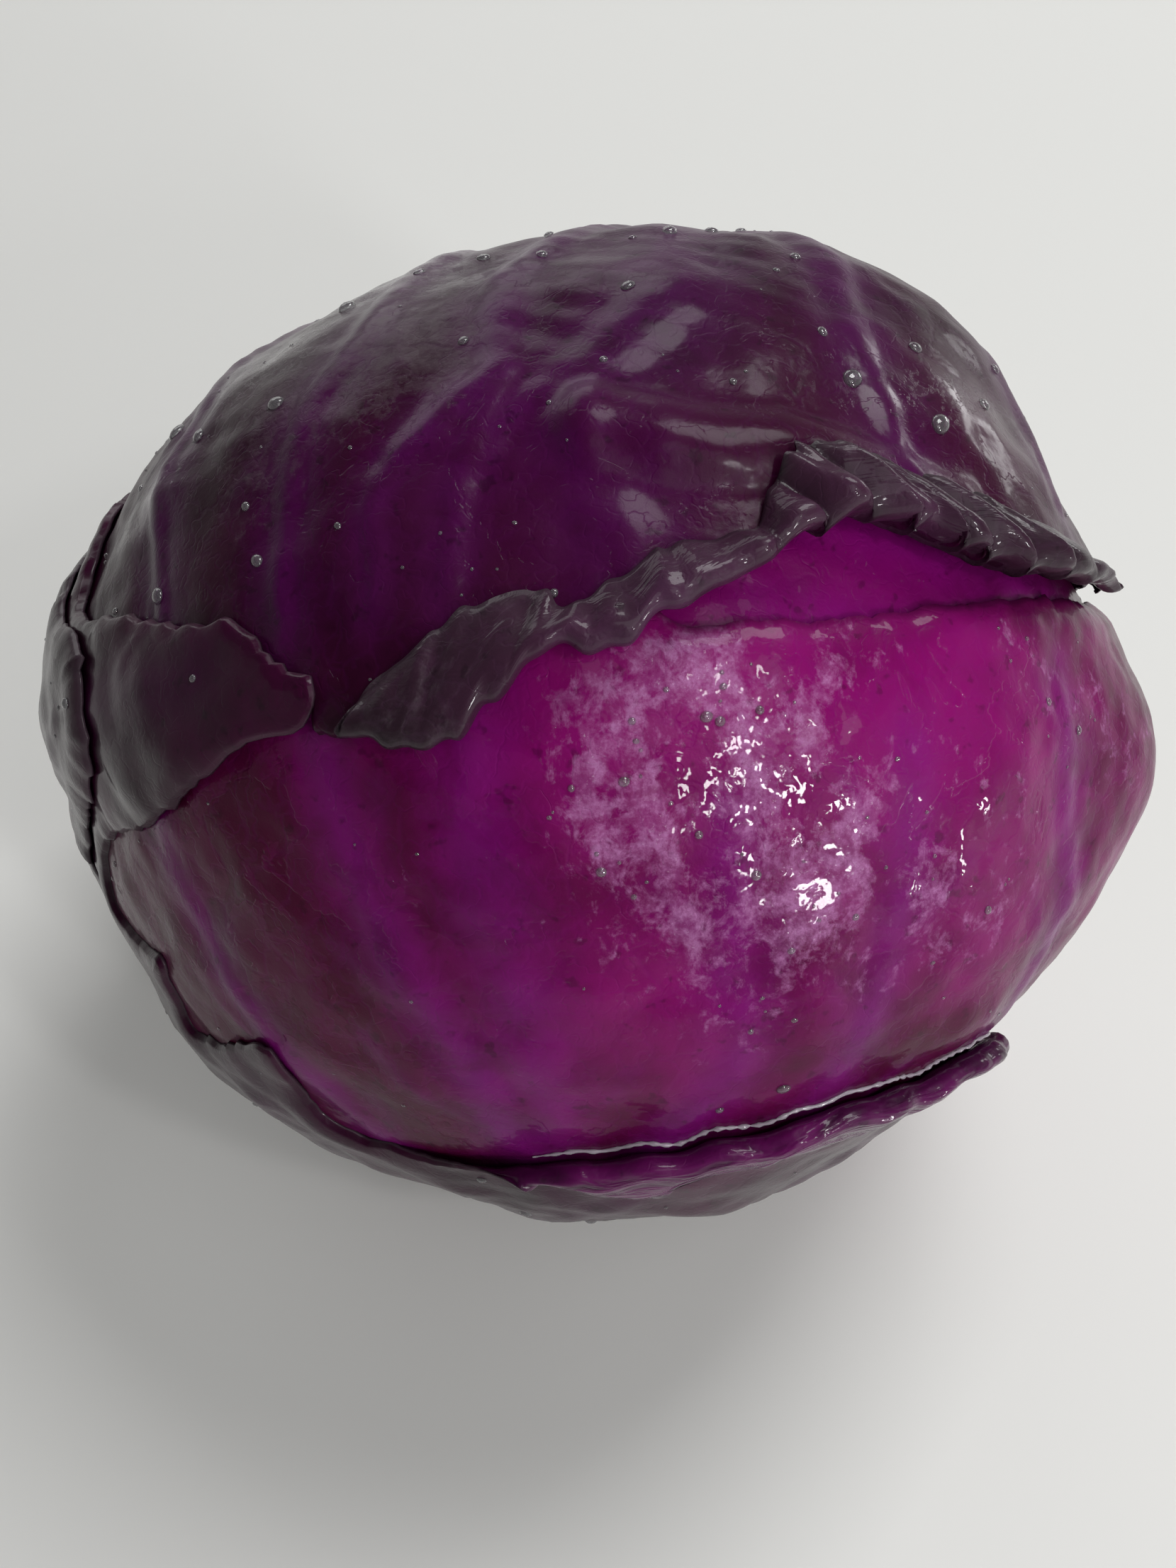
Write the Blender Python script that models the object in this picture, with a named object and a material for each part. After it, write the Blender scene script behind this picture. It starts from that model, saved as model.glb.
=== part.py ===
import math

import bpy
import numpy as np
from mathutils.geometry import delaunay_2d_cdt

# Red cabbage head standing on its cut stem, crown up.
# Metres, +Z up, origin at the middle of the stem's cut face, the bright front leaf facing -Y.
# Directions on the head are longitude and latitude in degrees:
# longitude 0 faces -Y and grows towards +X, latitude 90 is the crown.

MM = 0.001
HALF = np.array([0.080, 0.073, 0.075])
CENTRE_HEIGHT = 0.079
CENTRE = np.array([0.0, 0.0, CENTRE_HEIGHT])
CHART_RADIUS = 75.0

BLADE = 0.9 * MM
RIM_BLADE = 0.75 * MM
LAYER_STEP = 2.2 * MM
BRIGHT_LAYER = -0.45 * MM
UNDER_LAYER = BRIGHT_LAYER - LAYER_STEP
CROWN_LAYER = BRIGHT_LAYER + LAYER_STEP
COLLAR_LAYER = CROWN_LAYER + LAYER_STEP
SIDE_LAYER = COLLAR_LAYER + LAYER_STEP
CORE_LAYER = -4.4 * MM

FLAT_STEP = 8.0
RUFFLE_STEP = 3.0
RIB_STEP = 10.0
RIB_TAPER = 0.45
RIB_SINK = 0.6
EDGE_GAP = 2.0
POINT_GAP = 1.8
ROLL_STEP = 1.5
ROLL_TURNS = (0.17, 0.50, 0.83)
TAIL_ROWS = 2
FLAT_SHARE = 0.45
FULL_STRIP = 5.0
FLAT_STRIP = 2.6
PLEAT_LENGTH = 9.5
BASE_LATITUDE = -76.5
ROLLED_FROM = 30.0

SETTLE = 2.1 * MM
SETTLE_LINE = 72.3
SETTLE_RISE = 0.7
SETTLE_WIDE = 14.0
SETTLE_BACK = -128.0
SETTLE_TURN = 24.0

STEM_RADIUS = 15.5 * MM
STEM_NECK = 14.0 * MM
STEM_BEVEL = 1.2 * MM
STEM_SHOULDER = 5.0 * MM
STEM_GAP = 0.4 * MM
STEM_SIDES = 40
CORE_ACROSS = 30
CORE_UP = 15

# Swellings and dips of the whole head: longitude, latitude, angular spread, height in millimetres.
SWELLINGS = (
    (0, -90, 26, -6.0),
    (-75, 5, 42, -4.0),
    (-20, -25, 38, -2.5),
    (-58, -22, 22, 2.5),
    (46, -14, 18, -5.0),
    (70, -22, 16, -1.5),
    (-150, 45, 32, -4.0),
    (104, 31, 20, -5.5),
    (120, 52, 20, 3.5),
    (76, 14, 12, 3.0),
)

# Every margin point: longitude, latitude, roll in degrees, rolled strip in mm, pleat in mm, lift in mm.
UNDER_MARGIN = (
    (2, 60), (12, 69), (30, 75), (55, 77), (85, 74), (112, 62), (130, 40), (142, 10), (148, -25),
    (146, -55), (138, BASE_LATITUDE), (118, BASE_LATITUDE), (98, BASE_LATITUDE), (78, BASE_LATITUDE),
    (60, BASE_LATITUDE), (56, -50), (50, -20), (38, 8), (22, 32), (6, 48),
)
BRIGHT_MARGIN = (
    (12, 58.8), (22, 58), (32.5, 56), (43.5, 53.5), (54.5, 50), (66.5, 44), (75, 38), (84, 30), (94, 20),
    (102, 5), (103, -15), (96, -40), (84, -62), (62, BASE_LATITUDE), (40, BASE_LATITUDE),
    (15, BASE_LATITUDE), (-12, BASE_LATITUDE), (-40, BASE_LATITUDE), (-66, -60), (-82, -38),
    (-88, -12), (-86, 12), (-76, 32), (-60, 48), (-38, 60), (-15, 66), (2, 64),
)
CROWN_MARGIN = (
    (-38, 46.8, 0, 0, 0, 0), (-34.5, 44.4, 0, 0, 0, 0), (-31.5, 44.8, 30, 0, 0, 0), (-29, 46.2, 110, 3, 0, 0),
    (-26, 46.2, 160, 8, 0, 0), (-21, 46.8, 165, 10.5, 0, 0), (-16.6, 48.3, 165, 11, 0, 0),
    (-14.5, 51, 165, 12, 0, 0), (-11.5, 53.3, 160, 10, 0, 0), (-8.6, 55.8, 150, 6, 0, 0),
    (-5.5, 56.8, 160, 6, 0, 0), (-1, 56.6, 165, 9, 0, 0), (3.4, 57.2, 165, 11, 0, 0),
    (7, 58.5, 150, 7, 0, 0), (11.8, 59.9, 130, 2.5, 0, 0), (16.9, 60.7, 160, 6.5, 0, 0),
    (22.4, 61, 160, 5.5, 0, 0), (30.5, 62.1, 160, 4, 0.6, 0), (37, 62.3, 160, 7, 1, 0),
    (44, 61.3, 160, 7.5, 1, 0), (49, 59.6, 160, 7, 1, 0), (53.4, 56.7, 160, 7, 1, 0),
    (57.2, 52.8, 155, 6, 1, 0), (62.3, 48.3, 155, 5, 0.8, 0), (69.2, 43.1, 155, 4, 0.6, 0),
    (75, 39.0, 150, 3, 0.4, 0), (82, 33, 110, 0.5, 0, 0), (91, 25, 20, 0, 0, 0), (104, 12, 0, 0, 0, 0),
    (114, -2, 0, 0, 0, 0), (122, -20, 0, 0, 0, 0), (128, -42, 0, 0, 0, 0), (131, -62, 0, 0, 0, 0),
    (134, BASE_LATITUDE, 0, 0, 0, 0), (158, BASE_LATITUDE, 0, 0, 0, 0),
    (180, BASE_LATITUDE, 0, 0, 0, 0), (202, BASE_LATITUDE, 0, 0, 0, 0),
    (226, BASE_LATITUDE, 0, 0, 0, 0), (228, -62, 0, 0, 0, 0), (230, -42, 0, 0, 0, 0),
    (236, -20, 0, 0, 0, 0), (250, -2, 0, 0, 0, 0), (266, 13, 0, 0, 0, 0), (283, 25, 0, 0, 0, 0),
    (298, 35, 0, 0, 0, 0), (311, 42, 0, 0, 0, 0),
)
COLLAR_MARGIN = (
    (-97, 27, 0, 0, 0, 0), (-90, 27, 0, 0, 0, 0), (-84, 28, 0, 0, 0, 0), (-78, 31.5, 0, 0, 0, 0),
    (-71.5, 37.5, 0, 0, 0, 0), (-65, 41.5, 0, 0, 0, 0), (-58, 45, 0, 0, 0, 0),
    (-52, 48.5, 0, 0, 0, 0), (-46, 48.8, 0, 0, 0, 0.2), (-40, 48.2, 0, 0, 0, 0.4),
    (-36.5, 49, 0, 0, 0, 0.6), (-34.5, 46.8, 0, 0, 0, 0.8), (-36, 43.8, 0, 0, 0, 0.6),
    (-41, 40.8, 0, 0, 0, 0.4), (-44.5, 36, 0, 0, 0, 0.2), (-48.5, 30, 0, 0, 0, 0),
    (-54, 22.5, 0, 0, 0, 0), (-61, 15, 0, 0, 0, 0), (-65, 7, 0, 0, 0, 0), (-63, 0, 0, 0, 0, 0),
    (-55.5, 2, 0, 0, 0, 0), (-50, 5.5, 0, 0, 0, 0.3), (-49, 0, 0, 0, 0, 0), (-47, -5, 0, 0, 0, 0),
    (-41, -1, 0, 0, 0, 0.2), (-33.5, 7, 0, 0, 0, 0.8), (-31, 2, 0, 0, 0, 0.3),
    (-29.5, -3, 0, 0, 0, 0), (-25.5, -6, 0, 0, 0, 0), (-20, -5, 10, 0, 0, 0),
    (-14.5, -3.2, 30, 0, 0, 0), (-9.5, -1, 60, 1, 0, 0), (-5, 1.2, 120, 3, 0, 0),
    (-1.5, 2.4, 165, 5, 0, 0), (2, 3.3, 176, 6, 0, 0), (5.5, 4.4, 178, 6.5, 0, 0),
    (8.5, 5, 178, 6, 0, 0), (11.5, 5.6, 178, 6, 0, 0), (15, 6.2, 178, 6, 0, 0), (18.5, 6.6, 178, 6, 0, 0),
    (22.5, 6.6, 178, 6.5, 0, 0), (27, 5.2, 178, 6.5, 0, 0), (32, 2.6, 178, 6.5, 0, 0),
    (36.5, 1.2, 178, 6, 0, 0), (41, -0.5, 175, 5, 0, 0), (45.5, -4.5, 170, 4, 0, 0),
    (48.5, -12, 150, 2.5, 0, 0), (50, -21, 90, 0.5, 0, 0), (48.5, -34, 0, 0, 0, 0),
    (42, -52, 0, 0, 0, 0), (28, -68, 0, 0, 0, 0),
    (10, BASE_LATITUDE, 0, 0, 0, 0), (-14, BASE_LATITUDE, 0, 0, 0, 0),
    (-38, BASE_LATITUDE, 0, 0, 0, 0), (-60, BASE_LATITUDE, 0, 0, 0, 0),
    (-80, BASE_LATITUDE, 0, 0, 0, 0), (-105, -66, 0, 0, 0, 0), (-125, -45, 0, 0, 0, 0),
    (-133, -20, 0, 0, 0, 0), (-130, 4, 0, 0, 0, 0), (-119, 17, 0, 0, 0, 0), (-106, 25, 0, 0, 0, 0),
)
SIDE_MARGIN = (
    (-77, 30.5), (-73, 31.5), (-69.5, 30.5), (-65.5, 28.5), (-63, 25.5), (-63.2, 21), (-66, 14),
    (-69.5, 6), (-71, -4), (-69, -16), (-67, -30), (-68, -45), (-70, -66),
    (-74, BASE_LATITUDE), (-95, BASE_LATITUDE), (-116, BASE_LATITUDE), (-136, BASE_LATITUDE),
    (-146, -55), (-154, -30), (-157, -10), (-153, 4), (-146, 11), (-140, 9), (-136, 3), (-131, 5),
    (-126, 13), (-117, 15), (-110, 20), (-104, 19), (-98, 22), (-91, 24), (-84, 26),
)

# Every rib: width and height in mm at its thick end, then its run as longitude and latitude.
UNDER_RIBS = (
    (7, 0.8, ((100, -72), (92, -30), (84, 5), (76, 32), (62, 52), (42, 65))),
    (5, 0.7, ((84, 5), (66, 34), (44, 52), (24, 60))),
)
BRIGHT_RIBS = (
    (8, 0.8, ((-6, -70), (-5, -35), (-6, -5), (-5.5, 12), (-8, 26), (-13, 39), (-17, 52))),
    (6, 0.8, ((-6, -5), (-10, 12), (-17, 23), (-25, 33), (-35, 44))),
    (5, 0.8, ((-6, -30), (-24, -2), (-40, 14), (-50, 23), (-62, 34))),
    (5, 0.8, ((-5, -20), (4, 0), (13, 18), (12, 27), (14, 42))),
    (5, 0.8, ((-4, -38), (16, -6), (27, 22), (31, 30), (37, 43))),
    (6, 0.9, ((0, -50), (32, -20), (50, 10), (54, 22), (62, 36))),
    (6, 0.9, ((4, -58), (48, -38), (78, -8), (88, 14))),
)
CROWN_RIBS = (
    (13, 2.6, ((180, -70), (176, -40), (173, 0), (172, 40), (166, 66), (122, 84), (6, 85.2),
               (-16, 81.5), (-15.4, 77), (-8.6, 74.3), (0, 69.5), (6, 65.5))),
    (6, 1.3, ((-16.5, 81), (-32, 77.5), (-32, 72))),
    (7, 1.8, ((172, 44), (215, 76), (303, 80), (323, 73.4), (328, 68), (335, 61))),
    (5, 1.2, ((303, 80), (307, 77.3), (310.3, 71.4), (312.7, 65))),
    (5, 1.2, ((306, 78), (308, 72.2), (313.7, 64), (322, 60), (325.3, 57))),
    (7, 1.8, ((173, 22), (206, 56), (259, 68), (284.5, 63.3), (301, 58.3), (308, 55), (314, 52))),
    (7, 1.8, ((174, 2), (205, 32), (240, 46), (272, 46), (296, 42))),
    (6, 1.8, ((175, -22), (200, 4), (228, 20), (255, 22))),
    (7, 1.8, ((172, 36), (138, 60), (96, 68), (72, 64), (62, 60))),
    (7, 1.8, ((173, 10), (143, 36), (112, 46), (88, 42))),
    (6, 1.8, ((175, -16), (150, 8), (126, 18), (106, 18))),
)
COLLAR_RIBS = (
    (12, 2.4, ((-36, -70), (-34, -50), (-33, -35), (-34, -20), (-36, -9))),
    (7, 1.6, ((-34, -52), (-16, -36), (-4, -20), (2, -8))),
    (7, 1.6, ((-35, -60), (4, -46), (26, -24), (34, -6))),
    (7, 0.9, ((-33, -44), (-56, -26), (-72, -2), (-73, 18), (-63, 33), (-52, 42))),
    (7, 0.8, ((-36, -62), (-80, -46), (-100, -18), (-103, 6), (-98, 17))),
)
SIDE_RIBS = (
    (11, 2.4, ((-105, -70), (-106, -45), (-104, -15), (-99, 4), (-94, 14))),
    (6, 1.5, ((-105, -50), (-86, -28), (-79, -6), (-75, 10), (-72, 22))),
    (6, 1.5, ((-106, -46), (-126, -24), (-134, -6))),
)

# Folds that lift the whole blade, with the same entries as the ribs.
CROWN_FOLDS = (
    (15, 3.0, ((-2, 77), (15, 75.5), (31, 72.8), (46, 70), (58, 64), (67, 55))),
)


def direction(lon, lat):
    lo, la = np.radians(lon), np.radians(lat)
    return np.stack([np.cos(la) * np.sin(lo), -np.cos(la) * np.cos(lo), np.sin(la)], -1)


def outward(q):
    n = q / HALF
    return n / np.linalg.norm(n, axis=-1, keepdims=True)


def swelling(q):
    total = np.zeros(q.shape[:-1])
    for lon, lat, spread, height in SWELLINGS:
        angle = np.degrees(np.arccos(np.clip(q @ direction(lon, lat), -1, 1)))
        total += height * MM * np.exp(-((angle / spread) ** 2))
    return total


def on_head(q, height):
    return CENTRE + q * HALF + outward(q) * (swelling(q) + height)[..., None]


def settled(q):
    """Height that the two outermost leaves lose in front, where the crown leaf isn't beneath them."""
    lon = np.degrees(np.arctan2(q[:, 0], -q[:, 1]))
    lat = np.degrees(np.arcsin(np.clip(q[:, 2], -1, 1)))
    share = np.clip((SETTLE_LINE + SETTLE_RISE * lon - lat) / SETTLE_WIDE, 0, 1)
    share *= np.clip((lon - SETTLE_BACK) / SETTLE_TURN, 0, 1)
    return -SETTLE * share ** 2 * (3 - 2 * share)


class Chart:
    """Flat map of the head round one direction, in millimetres."""

    def __init__(self, lon, lat):
        self.axis = direction(lon, lat)
        east = np.cross([0.0, 0.0, 1.0], self.axis)
        self.east = east / np.linalg.norm(east)
        self.north = np.cross(self.axis, self.east)

    def flat(self, q):
        angle = np.arccos(np.clip(q @ self.axis, -1, 1))
        x, y = q @ self.east, q @ self.north
        reach = np.maximum(np.hypot(x, y), 1e-12)
        return np.stack([x, y], -1) * (angle * CHART_RADIUS / reach)[..., None]

    def sphere(self, p):
        reach = np.maximum(np.linalg.norm(p, axis=-1), 1e-12)
        angle = reach / CHART_RADIUS
        side = (p[..., :1] * self.east + p[..., 1:] * self.north) / reach[..., None]
        return np.cos(angle)[..., None] * self.axis + np.sin(angle)[..., None] * side


def curve_through(points, pieces, closed):
    """Catmull-Rom curve through the points, with the given number of pieces to each span."""
    count = len(points)
    spans = count if closed else count - 1
    out = []
    for i in range(spans):
        if closed:
            a, b, c, d = (points[(i + k) % count] for k in (-1, 0, 1, 2))
        else:
            a, b, c, d = (points[min(max(i + k, 0), count - 1)] for k in (-1, 0, 1, 2))
        for j in range(pieces[i]):
            t = j / pieces[i]
            out.append(0.5 * (2 * b + (c - a) * t + (2 * a - 5 * b + 4 * c - d) * t ** 2
                              + (3 * b - a - 3 * c + d) * t ** 3))
    if not closed:
        out.append(points[-1])
    return np.array(out)


def margin_curve(chart, margin):
    """Margin points on the chart with their roll, strip, pleat and lift."""
    rows = np.array([(tuple(row) + (0, 0, 0, 0))[:6] for row in margin], float)
    flat = chart.flat(direction(rows[:, 0], rows[:, 1]))
    table = np.hstack([flat, rows[:, 2:]])
    pieces = []
    for i in range(len(rows)):
        here, there = table[i], table[(i + 1) % len(rows)]
        step = RUFFLE_STEP if max(here[2], there[2]) > ROLLED_FROM else FLAT_STEP
        pieces.append(max(1, round(np.linalg.norm(there[:2] - here[:2]) / step)))
    curve = curve_through(table, pieces, True)
    curve[:, 2:] = np.maximum(curve[:, 2:], 0)
    x, y = curve[:, 0], curve[:, 1]
    if np.sum(x * np.roll(y, -1) - y * np.roll(x, -1)) < 0:
        curve = curve[::-1]
    return curve


def margin_normals(points):
    """Directions in the chart that point away from the blade, smoothed along the margin."""
    along = np.roll(points, -1, 0) - np.roll(points, 1, 0)
    along /= np.linalg.norm(along, axis=1, keepdims=True)
    away = np.stack([along[:, 1], -along[:, 0]], 1)
    for _ in range(2):
        away = (np.roll(away, 1, 0) + 2 * away + np.roll(away, -1, 0)) / 4
    return away / np.linalg.norm(away, axis=1, keepdims=True)


def margin_profile(roll, strip, pleat, lift, travel, rolled):
    """Rows across the margin strip: how far out, how high, and the slope of every row, in mm."""
    if not rolled:
        return [(FLAT_STRIP, lift, 0.0)]
    out, high, rows = 0.0, 0.0, []
    scale = FLAT_SHARE + (1 - FLAT_SHARE) * min(1.0, strip / FULL_STRIP)
    wave = pleat * math.sin(2 * math.pi * travel / PLEAT_LENGTH)
    turns = list(ROLL_TURNS) + [1.0] * TAIL_ROWS
    lengths = [ROLL_STEP] * len(ROLL_TURNS) + [max(strip, 1.0) / TAIL_ROWS] * TAIL_ROWS
    for k, (turn, length) in enumerate(zip(turns, lengths)):
        slope = math.radians(roll * turn)
        out += scale * length * math.cos(slope)
        high += scale * length * math.sin(slope)
        share = (k + 1) / len(turns)
        rows.append((out, high + (wave + lift) * share ** 2, slope))
    return rows


def rib_run(chart, run):
    flat = chart.flat(direction(*np.array(run, float).T))
    gaps = np.linalg.norm(np.diff(flat, axis=0), axis=1)
    return curve_through(flat, [max(1, round(g / RIB_STEP)) for g in gaps], False)


def run_share(run, p):
    """Distance of every point from the run and how far along the run it lies."""
    best = np.full(len(p), 1e9)
    along = np.zeros(len(p))
    lengths = np.linalg.norm(np.diff(run, axis=0), axis=1)
    starts = np.concatenate([[0], np.cumsum(lengths)])
    for a, b, start, length in zip(run, run[1:], starts, lengths):
        t = np.clip(((p - a) @ (b - a)) / max(length ** 2, 1e-9), 0, 1)
        gap = np.linalg.norm(p - a - t[:, None] * (b - a), axis=1)
        near = gap < best
        best[near] = gap[near]
        along[near] = (start + t * length)[near]
    return best, along / starts[-1]


def raised(runs, p):
    """Height in metres that the ribs or folds add at the chart points."""
    total = np.zeros(len(p))
    for width, height, run in runs:
        gap, share = run_share(run, p)
        reach = 0.5 * width * (1 - RIB_TAPER * share)
        bump = np.clip(1 - (gap / reach) ** 2, 0, 1) ** 1.5
        total = np.maximum(total, height * MM * (1 - RIB_SINK * share) * bump)
    return total


def inside(polygon, p):
    hit = np.zeros(len(p), bool)
    for a, b in zip(polygon, np.roll(polygon, -1, 0)):
        if a[1] == b[1]:
            continue
        crosses = (a[1] > p[:, 1]) != (b[1] > p[:, 1])
        hit ^= crosses & (p[:, 0] < (b[0] - a[0]) * (p[:, 1] - a[1]) / (b[1] - a[1]) + a[0])
    return hit


def clearance(polygon, p):
    gap, _ = run_share(np.vstack([polygon, polygon[:1]]), p)
    return gap


def leaf(name, colour, layer, middle, margin, ribs, folds=(), step=10.5, rolled=False, settles=False):
    """One leaf: a blade that follows the head, raised ribs outside, and a strip along its margin."""
    chart = Chart(*middle)
    curve = margin_curve(chart, margin)
    away = margin_normals(curve[:, :2])
    travel = np.concatenate([[0], np.cumsum(np.linalg.norm(np.diff(curve[:, :2], axis=0), axis=1))])
    profiles = [margin_profile(*row[2:], s, rolled) for row, s in zip(curve, travel)]
    reach = np.array([max(out for out, _, _ in rows) for rows in profiles])
    border = curve[:, :2] - away * reach[:, None]
    count = len(border)

    rib_runs = [(w, h, rib_run(chart, run)) for w, h, run in ribs]
    fold_runs = [(w, h, rib_run(chart, run)) for w, h, run in folds]
    points, edges = [tuple(p) for p in border], []
    taken = []
    for width, _, run in rib_runs:
        share = np.linspace(0, 1, len(run))[:, None]
        along = np.gradient(run, axis=0)
        side = np.stack([-along[:, 1], along[:, 0]], 1)
        side /= np.linalg.norm(side, axis=1, keepdims=True)
        flank = 0.5 * width * (1 - RIB_TAPER * share) * side
        for line, bound in ((run, True), (run + flank, False), (run - flank, False)):
            last = None
            keep = inside(border, line) & (clearance(border, line) > EDGE_GAP)
            for p, ok in zip(line, keep):
                near = taken and np.min(np.linalg.norm(np.array(taken) - p, axis=1)) < POINT_GAP
                if not ok or near:
                    last = None
                    continue
                points.append(tuple(p))
                taken.append(p)
                if bound and last is not None:
                    edges.append((last, len(points) - 1))
                last = len(points) - 1
    low, high = border.min(0), border.max(0)
    grid = []
    for r, y in enumerate(np.arange(low[1], high[1], step * math.sqrt(0.75))):
        for x in np.arange(low[0] + (r % 2) * step / 2, high[0], step):
            grid.append((x, y))
    grid = np.array(grid)
    grid = grid[inside(border, grid)]
    grid = grid[clearance(border, grid) > 0.45 * step]
    if taken:
        grid = np.array([p for p in grid if np.min(np.linalg.norm(np.array(taken) - p, axis=1)) > 0.5 * step])
    points += [tuple(p) for p in grid]

    flat, _, faces, origins, _, _ = delaunay_2d_cdt(points, edges, [list(range(count))], 1, 1e-5)
    flat = np.array([tuple(p) for p in flat])
    where = {source: i for i, sources in enumerate(origins) for source in sources}
    ring = [where[i] for i in range(count)]

    q = chart.sphere(flat)
    base = layer + raised(fold_runs, flat) + (settled(q) if settles else 0.0)
    outer = on_head(q, base + BLADE / 2 + raised(rib_runs, flat))
    inner = on_head(q, base - BLADE / 2)
    body = len(flat)
    triangles = [tuple(f) for f in faces]
    triangles += [(c + body, b + body, a + body) for a, b, c in faces]

    edge_q = q[ring]
    middle_point = on_head(edge_q, base[ring])
    beyond = chart.sphere(border + away * 0.5)
    normal = outward(edge_q)
    tangent = on_head(beyond, base[ring]) - middle_point
    tangent -= np.sum(tangent * normal, 1, keepdims=True) * normal
    tangent /= np.linalg.norm(tangent, axis=1, keepdims=True)
    vertices = [outer, inner]
    start = 2 * body
    previous = (ring, [i + body for i in ring])
    for k in range(len(profiles[0])):
        out, high, slope = (np.array([rows[k][j] for rows in profiles])[:, None] for j in range(3))
        sag = out ** 2 / (2 * CHART_RADIUS)
        spot = middle_point + (tangent * out + normal * (high - sag)) * MM
        lean = normal * np.cos(slope) - tangent * np.sin(slope)
        vertices += [spot + lean * RIM_BLADE / 2, spot - lean * RIM_BLADE / 2]
        here = (list(range(start, start + count)), list(range(start + count, start + 2 * count)))
        for i in range(count):
            j = (i + 1) % count
            for side, (old, new) in enumerate(zip(previous, here)):
                pair = [(old[i], new[i], new[j]), (old[i], new[j], old[j])]
                triangles += pair if side == 0 else [t[::-1] for t in pair]
        previous = here
        start += 2 * count
    top, under = previous
    for i in range(count):
        j = (i + 1) % count
        triangles += [(top[i], under[i], under[j]), (top[i], under[j], top[j])]
    return solid(name, np.vstack(vertices), triangles, colour, 0.35)


def solid(name, vertices, faces, colour, roughness, smooth=True):
    mesh = bpy.data.meshes.new(name)
    mesh.from_pydata([tuple(v) for v in vertices], [], [tuple(f) for f in faces])
    material = bpy.data.materials.new(name)
    material.use_nodes = True
    shader = material.node_tree.nodes["Principled BSDF"]
    shader.inputs["Base Color"].default_value = (*colour, 1.0)
    shader.inputs["Roughness"].default_value = roughness
    shader.inputs["Metallic"].default_value = 0.0
    mesh.materials.append(material)
    for face in mesh.polygons:
        face.use_smooth = smooth
    mesh.validate()
    mesh.update()
    thing = bpy.data.objects.new(name, mesh)
    bpy.context.scene.collection.objects.link(thing)
    return thing


def core():
    """The dense inside of the head, hidden by the leaves."""
    lats = np.linspace(-90, 90, CORE_UP + 1)[1:-1]
    lons = np.arange(CORE_ACROSS) * 360.0 / CORE_ACROSS
    grid = direction(np.tile(lons, len(lats)), np.repeat(lats, CORE_ACROSS))
    poles = direction(np.array([0.0, 0.0]), np.array([-90.0, 90.0]))
    q = np.vstack([grid, poles])
    vertices = on_head(q, np.full(len(q), CORE_LAYER))
    south, north = len(grid), len(grid) + 1
    faces = []
    for i in range(CORE_ACROSS):
        j = (i + 1) % CORE_ACROSS
        faces.append((south, j, i))
        top = (len(lats) - 1) * CORE_ACROSS
        faces.append((north, top + i, top + j))
        for row in range(len(lats) - 1):
            a, b = row * CORE_ACROSS, (row + 1) * CORE_ACROSS
            faces.append((a + i, a + j, b + j, b + i))
    return solid("inner_leaves", vertices, faces, (0.55, 0.30, 0.55), 0.5), vertices[south][2]


def stem(top):
    """The stub of stem below the leaves, cut flat, that the head stands on."""
    profile = ((STEM_RADIUS - STEM_BEVEL, 0.0), (STEM_RADIUS, STEM_BEVEL),
               (STEM_NECK, STEM_SHOULDER), (STEM_NECK, top - STEM_GAP))
    vertices, faces = [], []
    for radius, height in profile:
        for i in range(STEM_SIDES):
            a = 2 * math.pi * i / STEM_SIDES
            vertices.append((radius * math.cos(a), radius * math.sin(a), height))
    for row in range(len(profile) - 1):
        for i in range(STEM_SIDES):
            j = (i + 1) % STEM_SIDES
            a, b = row * STEM_SIDES, (row + 1) * STEM_SIDES
            faces.append((a + i, a + j, b + j, b + i))
    faces.append(tuple(reversed(range(STEM_SIDES))))
    last = (len(profile) - 1) * STEM_SIDES
    faces.append(tuple(range(last, last + STEM_SIDES)))
    return solid("cut_stem", vertices, faces, (0.62, 0.60, 0.42), 0.6)


for old in list(bpy.data.objects):
    bpy.data.objects.remove(old, do_unlink=True)

_, core_bottom = core()
stem(core_bottom)
leaf("violet_under_leaf", (0.20, 0.010, 0.13), UNDER_LAYER, (95, 5), UNDER_MARGIN, UNDER_RIBS)
leaf("bright_front_leaf", (0.18, 0.006, 0.085), BRIGHT_LAYER, (5, -6), BRIGHT_MARGIN, BRIGHT_RIBS)
leaf("dark_crown_leaf", (0.030, 0.004, 0.030), CROWN_LAYER, (176, 24), CROWN_MARGIN, CROWN_RIBS,
     CROWN_FOLDS, step=11.5, rolled=True)
leaf("torn_collar_leaf", (0.025, 0.005, 0.022), COLLAR_LAYER, (-42, -18), COLLAR_MARGIN,
     COLLAR_RIBS, rolled=True, settles=True)
leaf("torn_side_leaf", (0.022, 0.006, 0.022), SIDE_LAYER, (-100, -16), SIDE_MARGIN, SIDE_RIBS,
     settles=True)
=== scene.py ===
# %% [markdown]
# Red cabbage, leaf by leaf.
# A red cabbage is one huge bud: leaves lie over each other round a dense middle, all growing from one
# stub of stem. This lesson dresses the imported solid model. Every leaf is made again as a much finer
# sheet that keeps the place and the form of its solid, then it gets skin, ribs, wax and water.

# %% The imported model
import math

import bpy
import numpy as np
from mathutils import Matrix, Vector
from mathutils.geometry import delaunay_2d_cdt


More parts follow.
